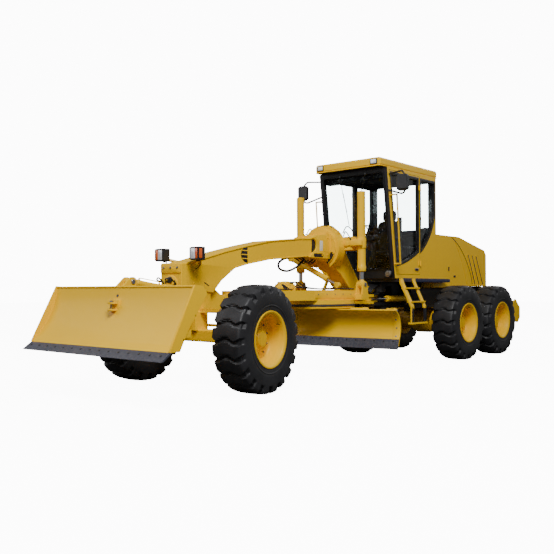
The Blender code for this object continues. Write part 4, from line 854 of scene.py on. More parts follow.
def saddlePieces():
    eased("saddle", "front", [yellowPaint], 0.006)
    y, z = -0.655, saddle["z"]
    chunks = []
    # Flat cheeks stand on both sides of the beam in front of the ring, each with a half-round notch.
    sweep = np.radians(np.linspace(-78, 78, 20))
    notch = [(y - 0.47 + 0.125 * math.cos(t), 1.965 + 0.115 * math.sin(t)) for t in sweep]
    outline = [(y + 0.05, 1.76), (y - 0.52, 1.775)] + notch + [(y - 0.42, 2.10), (y - 0.34, 2.125),
        (y + 0.05, 2.175)]
    for x in (-1, 1):
        chunks.append(slab(outline, "x", x * 0.171, x * 0.199, 0.004))
        # A black plate fills each notch: painted shade, so the notch reads as a dark hole.
        chunks.append(slab(notch + [(y - 0.435, 1.965)], "x", x * 0.1695, x * 0.1735, 0.0008, 1))
        chunks.append(slab(roundRect(y - 0.42, 1.782, y - 0.17, 1.842, 0.03), "x", x * 0.198, x * 0.2006,
            0.0006, 1))
        spots = [(x * 0.199, y - 0.06, zz) for zz in (1.83, 2.10)] + [(x * 0.199, y - 0.20, 1.815)]
        chunks.append(bolts(spots, (x, 0, 0), 0.012, 0.010))
        chunks.append(block((x * 0.198, y - 0.265, 1.885), (x * 0.2010, y - 0.185, 2.045), 0.006, "x",
            0.0006, 2))
        arc = np.radians(np.linspace(-70, -18, 12))
        outer = [(x * 0.300 * math.cos(t), z + 0.300 * math.sin(t)) for t in arc]
        inner = [(x * (0.215 * math.cos(t) + 0.012), z + 0.225 * math.sin(t)) for t in arc[::-1]]
        chunks.append(slab(outer[2:] + inner[:-2], "y", y - 0.0025, y + 0.003, 0.001, 1))
        for t in np.radians([42, 57, 72]):
            spot = (x * 0.3605 * math.cos(t), -0.535, z + 0.3605 * math.sin(t))
            out = (spot[0], 0, spot[2] - z)
            chunks.append(turned([(0.036, -0.012), (0.036, 0.012), (0.032, 0.016), (0.020, 0.016),
                (0.019, 0.010)], spot, out, 28, 0))
            chunks.append(turned([(0.0195, 0.009), (0.012, 0.011), (0.004, 0.011)], spot, out, 20, 1))
        faceSpots = [(x * 0.285 * math.cos(t), y, z + 0.285 * math.sin(t)) for t in np.radians([28, 58,
            -20])]
        chunks.append(bolts(faceSpots, (0, -1, 0), 0.011, 0.009))
    # A saddle plate closes the space between the beam's top and the ring, under the upper face.
    chunks.append(block((-0.169, y - 0.14, 2.06), (0.169, y + 0.04, 2.150), 0.02, "x", 0.006))
    chunks.append(block((-0.165, y - 0.30, 2.06), (0.165, y - 0.13, 2.100), 0.015, "x", 0.006))
    # The trunnion arms end in a block with a pin cap in front of each barrel.
    for x in (-1, 1):
        cx = x * 0.62
        chunks.append(turned([(0.062, -0.10), (0.070, -0.094), (0.070, -0.02), (0.074, -0.016),
            (0.074, 0.06), (0.066, 0.068), (0.05, 0.068)],
                             (cx - x * 0.135, -0.385, 2.01), (x, 0, 0), 36))
        chunks.append(turned([(0.046, 0), (0.046, 0.012), (0.040, 0.016), (0.018, 0.016)],
            (cx - x * 0.22, -0.475, 2.01), (0, -1, 0), 28))
        chunks.append(bolts([(cx - x * 0.22 + 0.028 * math.cos(t), -0.489,
            2.01 + 0.028 * math.sin(t)) for t in np.arange(3) * 2.09], (0, -1, 0), 0.006, 0.005))
        chunks.append(block((x * 0.485, -0.494, 1.968), (x * 0.700, -0.458, 2.062), 0.012, "y", 0.005))
        chunks.append(block((x * 0.485, -0.480, 1.975), (x * 0.530, -0.375, 2.055), 0.012, "x", 0.005))
        chunks.append(turned([(0.050, -0.03), (0.058, -0.022), (0.058, 0.020), (0.050, 0.028),
            (0.020, 0.028)], (x * 0.44, -0.46, 2.03), (0, -1, 0), 32))
    piece("saddle_trim", "front", chunks, [yellowPaint, blackPaint, labelWhite])


saddlePieces()

liftCylinder = {
    "barrel": [(0.058, -0.45), (0.068, -0.447), (0.0715, -0.435), (0.0715, -0.37), (0.066, -0.36),
    (0.0645, -0.30), (0.0645, 0.80),
               (0.0655, 0.81), (0.0655, 0.825), (0.060, 0.83), (0.02, 0.83)],
}


def liftPieces():
    for side in ("left", "right"):
        low, high = boxOf(f"lift_cylinder_{side}_barrel")
        cx, cy = (low[0] + high[0]) / 2, (low[1] + high[1]) / 2
        centre = (cx, cy, 2.01)
        chunks = [turned(liftCylinder["barrel"], centre, (0, 0, 1), 48)]
        chunks.append(turned([(0.064, -0.085), (0.074, -0.08), (0.076, -0.07), (0.076, 0.07),
            (0.074, 0.08), (0.064, 0.085)], centre, (0, 0, 1), 48))
        chunks.append(turned([(0.034, -0.462), (0.055, -0.462), (0.055, -0.445), (0.034, -0.445)], centre,
            (0, 0, 1), 32, 1, closed=True))
        port = np.array(centre) + [0, -0.066, -0.40]
        chunks.append(turned([(0.016, -0.004), (0.016, 0.018), (0.011, 0.020), (0.011, 0.032),
            (0.006, 0.034)], port, (0, -1, 0), 16))
        pipePath = [port + [0, -0.028, 0], port + [0, -0.030, 0.04], port + [0, -0.018, 0.16],
            port + [0, -0.018, 0.26]]
        chunks.append(bar(pipePath, 0.008, 10, 0.02, up=(1, 0.1, 0.1)))
        piece(f"lift_barrel_{side}", f"lift_{side}_barrel", chunks, [yellowPaint, blackPaint],
            [f"lift_cylinder_{side}_barrel"])
        eye = np.array((cx, cy, 1.35))
        rod = [turned([(0.0335, 0.05), (0.0335, 1.40), (0.02, 1.402)], eye, (0, 0, 1), 36)]
        rod.append(turned([(0.052, -0.0385), (0.057, -0.034), (0.057, 0.034), (0.052, 0.0385),
            (0.030, 0.0385)], eye, (1, 0, 0), 32, 1))
        rod.append(turned([(0.046, 0.03), (0.043, 0.06), (0.034, 0.075), (0.0336, 0.08)], eye, (0, 0, 1),
            32, 1))
        rod.append(turned([(0.026, -0.0395), (0.026, 0.0395)], eye, (1, 0, 0), 24, 2))
        piece(f"lift_rod_{side}", f"lift_{side}_rod", rod, [chrome, yellowPaint, zinc],
            [f"lift_cylinder_{side}_rod"])


liftPieces()


def ramPieces(name, body, base, eye, barrelLength, barrelR, rodR, cross):
    # A closed barrel with end caps and a port, and a polished rod with its eye.
    base, eye = np.array(base, float), np.array(eye, float)
    length = np.linalg.norm(eye - base)
    along = (eye - base) / length
    b = barrelR
    profile = [(b * 0.6, 0.0), (b * 0.92, 0.004), (b, 0.012), (b, barrelLength - 0.075),
        (b + 0.004, barrelLength - 0.07),
               (b + 0.004, barrelLength - 0.008), (b - 0.002, barrelLength), (rodR + 0.003, barrelLength),
               (rodR + 0.003, barrelLength - 0.01)]
    chunks = [turned(profile, base, along, 36)]
    chunks.append(turned([(b * 0.5, -b - 0.0028), (b + 0.010, -b - 0.0028), (b + 0.0118, -b + 0.001),
        (b + 0.0118, b - 0.001),
                          (b + 0.010, b + 0.0028), (b * 0.5, b + 0.0028)], base, cross, 32))
    side = np.cross(along, cross)
    side = side if side[2] > 0 else -side
    for share in (0.10, barrelLength - 0.045):
        spot = base + along * share + side * (b - 0.002)
        chunks.append(turned([(0.013, 0), (0.013, 0.014), (0.009, 0.016), (0.009, 0.026), (0.005, 0.027)],
            spot, side, 14))
    line = [base + along * 0.10 + side * (b + 0.022), base + along * 0.12 + side * (b + 0.026),
            base + along * (barrelLength - 0.07) + side * (b + 0.026),
            base + along * (barrelLength - 0.045) + side * (b + 0.022)]
    chunks.append(bar(line, 0.006, 8, 0.015, up=cross))
    piece(name + "_barrel_shell", body + "_barrel", chunks, [yellowPaint],
        [name + "_barrel"])
    half = {"dozer_cylinder": 0.0385}.get(name, 0.0335)
    inner = 0.25 if "articulation" in name else 0.085
    rod = [turned([(rodR - 0.0006, -length + inner), (rodR - 0.0006, -rodR - 0.018),
        (rodR * 0.5, -rodR - 0.016)], eye, along, 28)]
    er = rodR + 0.023
    rod.append(turned([(er - 0.005, -half), (er, -half + 0.004), (er, half - 0.004), (er - 0.005, half),
        (er * 0.4, half)], eye, cross, 28, 1))
    rod.append(turned([(rodR + 0.002, -er - 0.014), (rodR + 0.008, -er - 0.006),
        (rodR + 0.012, -er + 0.012), (rodR, -er + 0.02)], eye, along, 24, 1))
    piece(name + "_rod_polished", body + "_rod", rod, [chrome, yellowPaint], [name + "_rod"])


rams = {
    "dozer_cylinder": ("dozer", (0, axleY - 0.50, 1.29), (0, axleY - 1.06, 1.375), 0.47, 0.045, 0.024,
    (1, 0, 0)),
    "centre_shift_cylinder": ("centre_shift", (-0.52, axleY + 2.69, 1.79), (0.41, axleY + 2.69, 1.34),
    0.82, 0.045, 0.024, (0, 1, 0)),
    "articulation_cylinder_left": ("articulation_left", (0.42, 1.375, 1.11), (0.38, 0.175, 1.11), 0.66,
    0.05, 0.026, (0, 0, 1)),
    "articulation_cylinder_right": ("articulation_right", (-0.42, 1.375, 1.11), (-0.38, 0.175, 1.11),
    0.66, 0.05, 0.026, (0, 0, 1)),
    "ripper_cylinder": ("ripper", (0, 4.425, 1.24), (0, 4.825, 0.98), 0.37, 0.045, 0.024, (1, 0, 0)),
}
for name, facts in rams.items():
    ramPieces(name, *facts)
print("saddle and cylinders made")

# Dozer blade.

dozer = {"bolts": 15, "boltInset": 0.09, "edgeReach": 0.125, "edgeDrop": 0.09}


def dozerFront():
    # The plate's front line (y, z): an arc from a point on the CAD edge's box up to a given top point,
    # bowed by 0.07.
    low, high = boxOf("dozer_edge")
    bottom = np.array([low[1] + dozer["edgeReach"], high[2]])
    top = np.array([axleY - 1.21, 1.31])
    chord = top - bottom
    half = np.linalg.norm(chord) / 2
    bow = 0.07
    radius = (half**2 + bow**2) / (2 * bow)
    side = np.array([chord[1], -chord[0]]) / (2 * half)
    centre = (bottom + top) / 2 - side * (radius - bow)
    reach = math.asin(half / radius)
    a = np.linspace(-reach, reach, 25)[:, None]
    return centre + side * radius * np.cos(a) + chord / (2 * half) * radius * np.sin(a)


def dozerPieces():
    line = dozerFront()
    half = boxOf("dozer_blade")[1][0]
    low = boxOf("dozer_edge")[0]
    chunks = []
    slope = np.array([dozer["edgeReach"], dozer["edgeDrop"]])
    slope = slope / np.linalg.norm(slope)
    face = np.array([0, -slope[1], slope[0]])
    spread = np.linspace(-half + dozer["boltInset"], half - dozer["boltInset"], dozer["bolts"])
    middle = np.array([0, low[1] + 0.078, low[2] + 0.057])
    places = np.stack([spread, np.full(len(spread), middle[1]), np.full(len(spread), middle[2])],
        1) + face * 0.001
    plough = turned([(0.014, -0.002), (0.014, 0.0015), (0.011, 0.0025), (0.004, 0.0025)], (0, 0, 0),
        (0, 0, 1), 16)
    chunks.append(scattered((plough[0], plough[1], 1), places, frameFor(face)))
    # A rolled lip on the top edge, and a weld line where the plate meets each cheek.
    lip = [(-half + 0.022, line[-1][0] + 0.004, line[-1][1] + 0.002),
        (half - 0.022, line[-1][0] + 0.004, line[-1][1] + 0.002)]
    chunks.append(carried(circleOf(0.013, 14), np.linspace(lip[0], lip[1], 4), (0, 0, 1)))
    for x in (-1, 1):
        seam = np.array([(x * (half - 0.026), y - 0.002, z) for y, z in line[1:-1]])
        chunks.append(carried(circleOf(0.007, 8), seam, (1, 0, 0)))
        chunks.append(bolts([(x * (half - 0.006), line[3][0] + 0.12, 0.75),
            (x * (half - 0.006), line[12][0] + 0.12, 1.0)], (x, 0, 0), 0.011, 0.006))
    # The towing clevis: two cheeks on a pad with a pin through them.
    k = 17
    at = np.array([0.0, line[k][0], line[k][1]])
    pad = block((-0.075, at[1] - 0.012, at[2] - 0.11), (0.075, at[1] + 0.03, at[2] + 0.075), 0.010, "y",
        0.004)
    chunks.append(pad)
    for z in (at[2] + 0.035, at[2] - 0.045):
        outline = [(-0.055, at[1] + 0.01), (0.055, at[1] + 0.01), (0.055, at[1] - 0.05)]
        outline += [(0.055 * math.cos(t), at[1] - 0.05 + 0.05 * math.sin(t)) for t in np.linspace(-0.3,
            -math.pi + 0.3, 8)]
        outline.append((-0.055, at[1] - 0.05))
        chunks.append(slab(outline, "z", z - 0.011, z + 0.011, 0.003))
    chunks.append(turned([(0.006, -0.004), (0.019, 0.0), (0.024, 0.004), (0.024, 0.012), (0.016, 0.016),
        (0.0155, 0.105), (0.012, 0.112), (0.005, 0.112)],
                         (0.0, at[1] - 0.055, at[2] + 0.062), (0, 0, -1), 24, 2))
    # A black disc on the plate's face: painted shade for a hole.
    hole = turned([(0.020, 0), (0.021, 0.003), (0.016, 0.004), (0.015, 0.001), (0.004, 0.001)],
        (0.0, line[21][0] - 0.001, line[21][1]), (0, -0.9, 0.42), 20, 1)
    chunks.append(hole)
    # The lug plates over the top edge carry the lift ram's eye, with a pin head on each side.
    for x in (-1, 1):
        chunks.append(turned([(0.030, 0), (0.030, 0.008), (0.026, 0.011), (0.010, 0.011)],
            (x * 0.075, axleY - 1.06, 1.375), (x, 0, 0), 24, 2))
        bead = np.array([(x * 1.3225, axleY - 1.577, 0.632), (x * 1.3225, axleY - 1.399, 0.98),
            (x * 1.3225, axleY - 1.221, 1.327)])
        chunks.append(carried(circleOf(0.009, 10), bead, (1, 0, 0)))
    piece("dozer_trim", "dozer", chunks, [yellowPaint, blackPaint, zinc])
    hose = [(0.035, axleY - 0.49, 1.37), (0.07, axleY - 0.55, 1.41), (0.10, axleY - 0.50, 1.42),
        (0.11, axleY - 0.42, 1.36), (0.10, axleY - 0.38, 1.30)]
    more = [(-0.035, axleY - 0.49, 1.37), (-0.08, axleY - 0.56, 1.40), (-0.12, axleY - 0.50, 1.43),
        (-0.13, axleY - 0.42, 1.37), (-0.12, axleY - 0.38, 1.30)]
    piece("dozer_hoses", "front", [tube(hose, 0.010), tube(more, 0.010)], hoseRubber)


dozerPieces()
print("dozer blade made")

# Drawbar, circle and moldboard.

circle = {"teeth": 72, "toothDepth": 0.022}


def drawbarPieces():
    chunks = []
    y0 = axleY + 1.85
    gearTop = 1.26
    # The circle's drive: a gear case with a domed cover and a motor on it.
    chunks.append(turned([(0.15, 0), (0.155, 0.01), (0.155, 0.05), (0.135, 0.065), (0.11, 0.07),
        (0.10, 0.085), (0.10, 0.12), (0.085, 0.135), (0.03, 0.137)],
                         (0, y0, gearTop), (0, 0, 1), 48))
    ring = np.arange(10) * 2 * math.pi / 10
    chunks.append(bolts([(0.128 * math.cos(t), y0 + 0.128 * math.sin(t), gearTop + 0.066) for t in ring],
        (0, 0, 1), 0.009, 0.008, material=1))
    chunks.append(turned([(0.048, 0), (0.052, 0.006), (0.052, 0.12), (0.046, 0.13), (0.02, 0.132)],
        (0, y0 - 0.02, gearTop + 0.09), (0, 1, 0), 28, 2))
    # Ribs and weld lines along the frame's arms, and a wear strip under each.
    for x in (-1, 1):
        edge = np.array([(x * 0.562, y, 1.185) for y in (axleY + 1.90, -0.40)])
        chunks.append(carried(roundRect(-0.004, -0.05, 0.004, 0.05, 0.003, 3), edge, (0, 0, 1)))
        chunks.append(bolts([(x * 0.56, y, 1.20) for y in np.linspace(axleY + 1.98, -0.60, 5)], (x, 0, 0),
            0.012, 0.010, material=1))
        rail = np.array([(x * 0.47, axleY + 1.95, 1.262), (x * 0.47, -0.30, 1.262)])
        chunks.append(carried(roundRect(-0.035, -0.006, 0.035, 0.006, 0.004, 3), rail, (0, 0, 1)))
        for offset in (-1, 1):
            spot = (x * 0.62 + offset * 0.071, -0.375, 1.35)
            chunks.append(turned([(0.034, 0), (0.034, 0.007), (0.030, 0.010), (0.010, 0.010)], spot,
                (offset, 0, 0), 24, 1))
    chunks.append(turned([(0.045, -0.07), (0.05, -0.065), (0.05, 0.065), (0.045, 0.07)],
        (0, axleY + 0.42, 1.10), (1, 0, 0), 28)[:3])
    piece("drawbar_trim", "drawbar", chunks, [yellowPaint, zinc, blackPaint])
    lines = []
    for x in (-0.03, 0.0, 0.03):
        path = [(x, y0 + 0.13, gearTop + 0.10), (x * 2, y0 + 0.26, gearTop + 0.13),
            (x * 3 + 0.05, y0 + 0.40, gearTop + 0.05), (0.42 + x, y0 + 0.52, gearTop + 0.02),
                (0.50 + x * 0.6, -0.62, gearTop + 0.03), (0.50 + x * 0.6, -0.45, gearTop + 0.02)]
        lines.append(tube(path, 0.009, 10, 40))
    for x in (0.10, 0.13, 0.16):
        path = [(x * 0.8, axleY + 1.05, 1.265), (x * 1.5, axleY + 1.30, 1.275),
            (x * 2.2, axleY + 1.60, 1.275), (x * 1.5, y0 - 0.14, 1.275),
            (x * 0.5, y0 - 0.10, gearTop + 0.09)]
        lines.append(tube(path, 0.008, 10, 40))
    piece("drawbar_hoses", "drawbar", lines, hoseRubber)


drawbarPieces()


def circlePieces():
    centreY = axleY + 2.45
    n = circle["teeth"]
    # Inner gear teeth: short tapered blocks standing in from the ring's hole.
    angle = np.arange(n) * 2 * math.pi / n
    tooth = np.array([(0.566, -0.014), (0.566, 0.014), (0.566 - circle["toothDepth"], 0.007),
        (0.566 - circle["toothDepth"], -0.007)])
    one = slab(tooth, "z", 1.005, 1.100, 0.002)
    points, faces = [], []
    for t in angle:
        c, s = math.cos(t), math.sin(t)
        points.append(one[0] @ np.array([[c, -s, 0], [s, c, 0], [0, 0, 1]]).T)
        faces += [[v + len(one[0]) * (len(points) - 1) for v in face] for face in one[1]]
    gear = (np.vstack(points) + [0, centreY, 0], faces, 1)
    joint = turned([(0.738, 1.018), (0.738, 1.052), (0.742, 1.052), (0.748, 1.046), (0.748, 1.024),
        (0.742, 1.018)], (0, centreY, 0), (0, 0, 1), 120, 1, closed=True)
    chunks = [gear, joint]
    yaw = layout["bladeYaw"]
    axisY = centreY + 0.09
    barrel = [(0.025, 0.0), (0.040, 0.004), (0.0415, 0.012), (0.0415, 0.90), (0.046, 0.905),
        (0.046, 0.99), (0.040, 0.998), (0.026, 0.998)]
    chunks.append(moved(turned(barrel, (0.02, axisY, 0.955), (1, 0, 0), 32), yaw, (0, centreY, 0)))
    for x in (-0.50, 0.50):
        plate = [(centreY + 0.045, 0.56), (centreY + 0.13, 0.56), (centreY + 0.20, 0.66),
            (centreY + 0.34, 0.96), (centreY + 0.10, 0.96), (centreY + 0.045, 0.90)]
        for offset in (-0.037, 0.034):
            chunks.append(moved(slab(insetOf(np.array(plate), 0.018)[::1], "x", x + offset,
                x + offset + 0.003, 0.001), yaw, (0, centreY, 0)))
        ends = [(x + s * 0.036, centreY + 0.13, 0.68) for s in (-1, 1)]
        for s, spot in zip((-1, 1), ends):
            chunks.append(moved(turned([(0.055, 0), (0.055, 0.01), (0.048, 0.014), (0.02, 0.014)], spot,
                (s, 0, 0), 28), yaw, (0, centreY, 0)))
        for z in (0.56, 0.89):
            keeper = block((x - 0.06, centreY + 0.032, z - 0.05), (x + 0.06, centreY + 0.075, z + 0.05),
                0.008, "y", 0.003)
            chunks.append(moved(keeper, yaw, (0, centreY, 0)))
            chunks.append(moved(bolts([(x + dx, centreY + 0.074, z + dz) for dx in (-0.045,
                0.045) for dz in (-0.03, 0.03)], (0, 1, 0), 0.008, 0.007, material=2), yaw,
                (0, centreY, 0)))
    piece("circle_trim", "circle", chunks, [yellowPaint, castIron, zinc])


circlePieces()

blade = {"length": 3.35, "shift": -0.046, "boltGap": 0.152, "base": -0.19, "low": 0.41}


def bladeFront():
    # The moldboard's front line, (y, z) with y from the circle's centre.
    up = np.array([math.sin(math.radians(15)), math.cos(math.radians(15))])
    out = np.array([up[1], -up[0]])
    foot = np.array([blade["base"], blade["low"]]) + out * 0.0183
    knee, top = foot + up * 0.15, np.array([blade["base"] - 0.05, 0.97])
    chord = top - knee
    half = np.linalg.norm(chord) / 2
    bow = 0.10
    radius = (half**2 + bow**2) / (2 * bow)
    side = np.array([chord[1], -chord[0]]) / (2 * half)
    centre = (knee + top) / 2 - side * (radius - bow)
    reach = math.asin(min(1.0, half / radius))
    a = np.linspace(-reach, reach, 21)[:, None]
    return centre + side * radius * np.cos(a) + chord / (2 * half) * radius * np.sin(a), up, out


def moldboardPieces():
    centreY = axleY + 2.45
    yaw = layout["bladeYaw"]
    line, up, out = bladeFront()
    lowX, highX = blade["shift"] - blade["length"] / 2, blade["shift"] + blade["length"] / 2
    chunks = []
    # Plough bolts along the cutting edge, in one row of holes.
    spread = np.arange(lowX + 0.075, highX - 0.05, blade["boltGap"])
    foot = np.array([blade["base"], blade["low"]])
    for rise, size in ((0.115, 0.012),):
        spot = foot + up * rise - out * 0.0004
        places = np.stack([spread, np.full(len(spread), spot[0] + centreY),
            np.full(len(spread), spot[1])], 1)
        head = turned([(size, -0.003), (size, 0.001), (size * 0.75, 0.002), (size * 0.3, 0.002)],
            (0, 0, 0), (0, 0, 1), 14)
        chunks.append(scattered((head[0], head[1], 1), places, frameFor((0, -out[0], -out[1]))))
    # End bits: a strip that follows the plate's curve at each end, with a column of bolts.
    for x, sign in ((highX, -1), (lowX, 1)):
        strip = []
        for offset, lift in ((0.0, 0.0), (0.0, 0.007), (0.004, 0.009), (0.112, 0.009), (0.116, 0.007),
            (0.116, 0.0)):
            strip.append(np.stack([np.full(len(line), x + sign * offset), line[:, 0] + centreY - lift,
                line[:, 1]], 1))
        strip = np.array(strip[::-1] if sign < 0 else strip)
        points = np.transpose(strip, (1, 0, 2))
        chunks.append(gridChunk(points))
        for k in (2, 7, 12, 17):
            here, after = line[k], line[k + 1]
            t = (after - here) / np.linalg.norm(after - here)
            normal = np.array([0, -t[1], t[0]])
            spot = np.array([x + sign * 0.058, here[0] + centreY - 0.009, here[1]])
            chunks.append(bolts([spot], normal, 0.010, 0.004, material=2))
    # A bead along the top edge, and the side-shift ram's bracket with its pin.
    top = np.array([(lowX + 0.01, centreY + line[-1][0] + 0.012, line[-1][1] + 0.0),
        (highX - 0.01, centreY + line[-1][0] + 0.012, line[-1][1] + 0.0)])
    chunks.append(carried(circleOf(0.0115, 14), np.linspace(top[0], top[1], 4), (0, 0, 1)))
    bracketX = highX - 0.22
    chunks.append(turned([(0.028, 0), (0.032, 0.004), (0.032, 0.03), (0.026, 0.036), (0.012, 0.036)],
        (bracketX + 0.05, centreY + 0.09, 0.955), (1, 0, 0), 28))
    chunks.append(bolts([(bracketX + 0.086, centreY + 0.09, 0.955)], (1, 0, 0), 0.016, 0.012, material=2))
    for z in (0.58, 0.86):
        rail = np.array([(lowX + 0.16, centreY + 0.012, z + 0.033),
            (highX - 0.16, centreY + 0.012, z + 0.033)])
        chunks.append(carried(roundRect(-0.010, -0.004, 0.010, 0.004, 0.003, 3), rail, (0, 0, 1),
            material=1))
    placedChunks = [moved(chunk, yaw, (0, centreY, 0)) for chunk in chunks]
    piece("moldboard_trim", "moldboard", placedChunks, [yellowPaint, blackPaint, zinc])
    rod = turned([(0.0215, 0.45), (0.0215, bracketX - 0.001), (0.01, bracketX - 0.0008)],
        (0, centreY + 0.09, 0.955), (1, 0, 0), 28)
    piece("side_shift_rod_polished", "moldboard", [moved(rod, yaw, (0, centreY, 0))], chrome,
        ["side_shift_rod"])


moldboardPieces()
print("blade and circle made")

# Cab.


def arcLine(start, end, bow, count=14):
    # Points on a circle through two points, bowed by that much to the right of the way there.
    start, end = np.array(start, float), np.array(end, float)
    chord = end - start
    half = np.linalg.norm(chord) / 2
    radius = (half**2 + bow**2) / (2 * bow)
    side = np.array([chord[1], -chord[0]]) / (2 * half)
    centre = (start + end) / 2 - side * (radius - bow)
    reach = math.asin(min(1.0, half / radius))
    a = np.linspace(-reach, reach, count)[:, None]
    return list(centre + side * radius * np.cos(a) + chord / (2 * half) * radius * np.sin(a))


doorTop = boxOf("door_left")[1][2]
window = {"top": doorTop - 0.05, "frontSill": 1.70, "rearSill": 1.95, "seal": 0.034}


def doorWindow():
    front, rear = cabFrontY(window["frontSill"]) + 0.11, cab["postY"] - 0.055
    sill = arcLine((front, window["frontSill"]), (rear, window["rearSill"]), 0.03)
    return sill + [(rear, window["top"]), (cabFrontY(window["top"]) + 0.11, window["top"])]


def quarterWindow():
    front, rear = cab["postY"] + 0.05, cab["rearY"] - 0.07
    sill = arcLine((front, window["rearSill"] + 0.02), (rear, 2.62), 0.07)
    return sill + [(rear, window["top"]), (front, window["top"])]


def cabPieces():
    for side, x in (("left", 1), ("right", -1)):
        out = x * (cab["half"] - 0.001)
        low, high = sorted((out, x * (cab["half"] + 0.005)))
        seals = [frameStrip(doorWindow(), "x", low, high, window["seal"])]
        if x < 0:
            flat = frameStrip(doorWindow(), "x", -high, -low, window["seal"])
            seals = [mirrored(flat)]
        inner = frameStrip(doorWindow(), "x", 0.652, 0.6995, 0.012, -1)
        seals.append(sided(x, inner))
        latch = [block((0.700, cab["postY"] - 0.18, 1.60), (0.712, cab["postY"] - 0.06, 1.645), 0.010,
            "x", 0.003, 1),
                 block((0.710, cab["postY"] - 0.17, 1.613), (0.724, cab["postY"] - 0.09, 1.632), 0.008,
                 "x", 0.003, 0)]
        seals += [sided(x, c) for c in latch]
        piece(f"door_trim_{side}", f"door_{side}", seals, [seal, zinc])
        flat = frameStrip(quarterWindow(), "x", 0.699, 0.705, window["seal"])
        inside = frameStrip(quarterWindow(), "x", 0.652, 0.6995, 0.012, -1)
        quarter = [sided(x, flat), sided(x, inside)]
        piece(f"quarter_seal_{side}", "rear", quarter, seal)
    # The windshield's rubber, on the leaning front.
    chunks = []
    outline = roundRect(-0.61, 1.62, 0.61, bodyHigh[2] - 0.09, 0.03)
    strip = frameStrip(outline, "y", -0.008, 0.004, 0.03)
    points = strip[0].copy()
    points[:, 1] += np.array([cabFrontY(z) for z in points[:, 2]])
    chunks.append((points, strip[1], 0))
    back = frameStrip(roundRect(-0.56, 2.38, 0.56, bodyHigh[2] - 0.09, 0.03), "y", cab["rearY"] - 0.001,
        cab["rearY"] + 0.006, 0.03)
    chunks.append(back)
    # Wipers: an arm from a pivot in the header, with a blade hung on it, two on the windshield.
    for x, swing in ((0.28, -0.35), (-0.25, 0.15)):
        y = cabFrontY(3.20) - 0.012
        chunks.append(turned([(0.022, 0), (0.022, 0.02), (0.016, 0.026), (0.006, 0.026)],
            (x, y + 0.008, 3.24), (0, -1, 0), 20))
        tipZ = 2.62
        tip = (x + swing * 0.6, cabFrontY(tipZ) - 0.016, tipZ)
        chunks.append(bar([(x, y - 0.012, 3.24), ((x + tip[0]) / 2, cabFrontY(2.93) - 0.03, 2.93), tip],
            0.006, 8, 0.03))
        start = np.array([x + swing * 0.25, cabFrontY(2.95) - 0.012, 2.95])
        end = np.array([x + swing * 0.75, cabFrontY(2.38) - 0.012, 2.38])
        chunks.append(carried(roundRect(-0.004, -0.008, 0.004, 0.008, 0.003, 3),
            np.linspace(start, end, 3), (0, 1, 0)))
    piece("glass_trim", "rear", chunks, seal)


cabPieces()


def roofPieces():
    low, high = boxOf("cab_roof")
    chunks = []
    # Work lights let into the roof's front corners, each a bezel with a lens behind it.
    for x in (-0.55, 0.55):
        z = (low[2] + high[2]) / 2 + 0.002
        y = low[1]
        outline = roundRect(x - 0.068, z - 0.046, x + 0.068, z + 0.046, 0.012)
        chunks.append(slab(outline, "y", y - 0.010, y + 0.03, 0.004, 1))
        chunks.append(block((x - 0.054, y - 0.0125, z - 0.034), (x + 0.054, y - 0.006, z + 0.034), 0.010,
            "y", 0.002, 2))
    # A drip rail round the roof's foot, and a raised panel on its top.
    chunks.append(frameStrip(roundRect(low[0] + 0.012, low[1] + 0.012, high[0] - 0.012, high[1] - 0.012,
        0.03), "z", low[2] + 0.002, low[2] + 0.016, 0.012))
    for k in range(5):
        x = (k - 2) * 0.22
        chunks.append(block((x - 0.03, low[1] + 0.75, high[2] - 0.004),
            (x + 0.03, high[1] - 0.15, high[2] - 0.0002), 0.025, "z", 0.003))
    for x in (-0.45, 0.45):
        y, z = high[1], (low[2] + high[2]) / 2
        chunks.append(slab(roundRect(x - 0.068, z - 0.040, x + 0.068, z + 0.040, 0.012), "y", y - 0.03,
            y + 0.010, 0.003, 1))
        chunks.append(block((x - 0.054, y + 0.006, z - 0.028), (x + 0.054, y + 0.0125, z + 0.028), 0.008,
            "y", 0.001, 2))
    piece("roof_trim", "rear", chunks, [yellowPaint, blackPaint, lampFace])
    # Round headlining under the roof: a dark panel with a dome lamp.
    lining = [block((-0.63, low[1] + 0.30, low[2] - 0.022), (0.63, cab["rearY"] - 0.06, low[2] - 0.002),
        0.04, "z", 0.006)]
    lining.append(turned([(0.06, 0), (0.06, 0.008), (0.045, 0.014), (0.01, 0.015)],
        (0, 1.1, low[2] - 0.020), (0, 0, -1), 28, 1))
    lining.append(block((-0.62, cabFrontY(3.2) + 0.075, 3.13), (0.62, cabFrontY(3.2) + 0.20, 3.295), 0.03,
        "x", 0.006))
    piece("cab_lining", "rear", lining, [plastic, lampFace])


roofPieces()


def mirrorPieces():
    chunks = []
    for x in (-1, 1):
        armY = cabFrontY(3.05) + 0.03
        c = x * 1.03
        arm = [(x * 0.70, armY, 3.20), (x * 0.98, armY - 0.06, 3.22), (x * 1.04, armY - 0.08, 3.16)]
        arm += [(x * 1.04, armY - 0.08, 2.86), (x * 0.98, armY - 0.06, 2.84), (x * 0.70, armY, 2.93)]
        chunks.append(bar(arm, 0.0145, 12, 0.03))
        shell = block((c - 0.094, armY - 0.150, 2.880), (c + 0.094, armY - 0.080, 3.150), 0.045, "y", 0.014)
        chunks.append(shell)
        chunks.append(block((c - 0.088, armY - 0.079, 2.910), (c + 0.088, armY - 0.0755, 3.120), 0.02,
            "y", 0.0012, 1))
        for z in (2.93, 3.10):
            chunks.append(turned([(0.018, -0.014), (0.020, -0.010), (0.020, 0.010), (0.018, 0.014)],
                (x * 1.04, armY - 0.08, z), (0, 0, 1), 16))
    piece("mirrors", "rear", chunks, [blackPaint, mirrorGlass])


mirrorPieces()


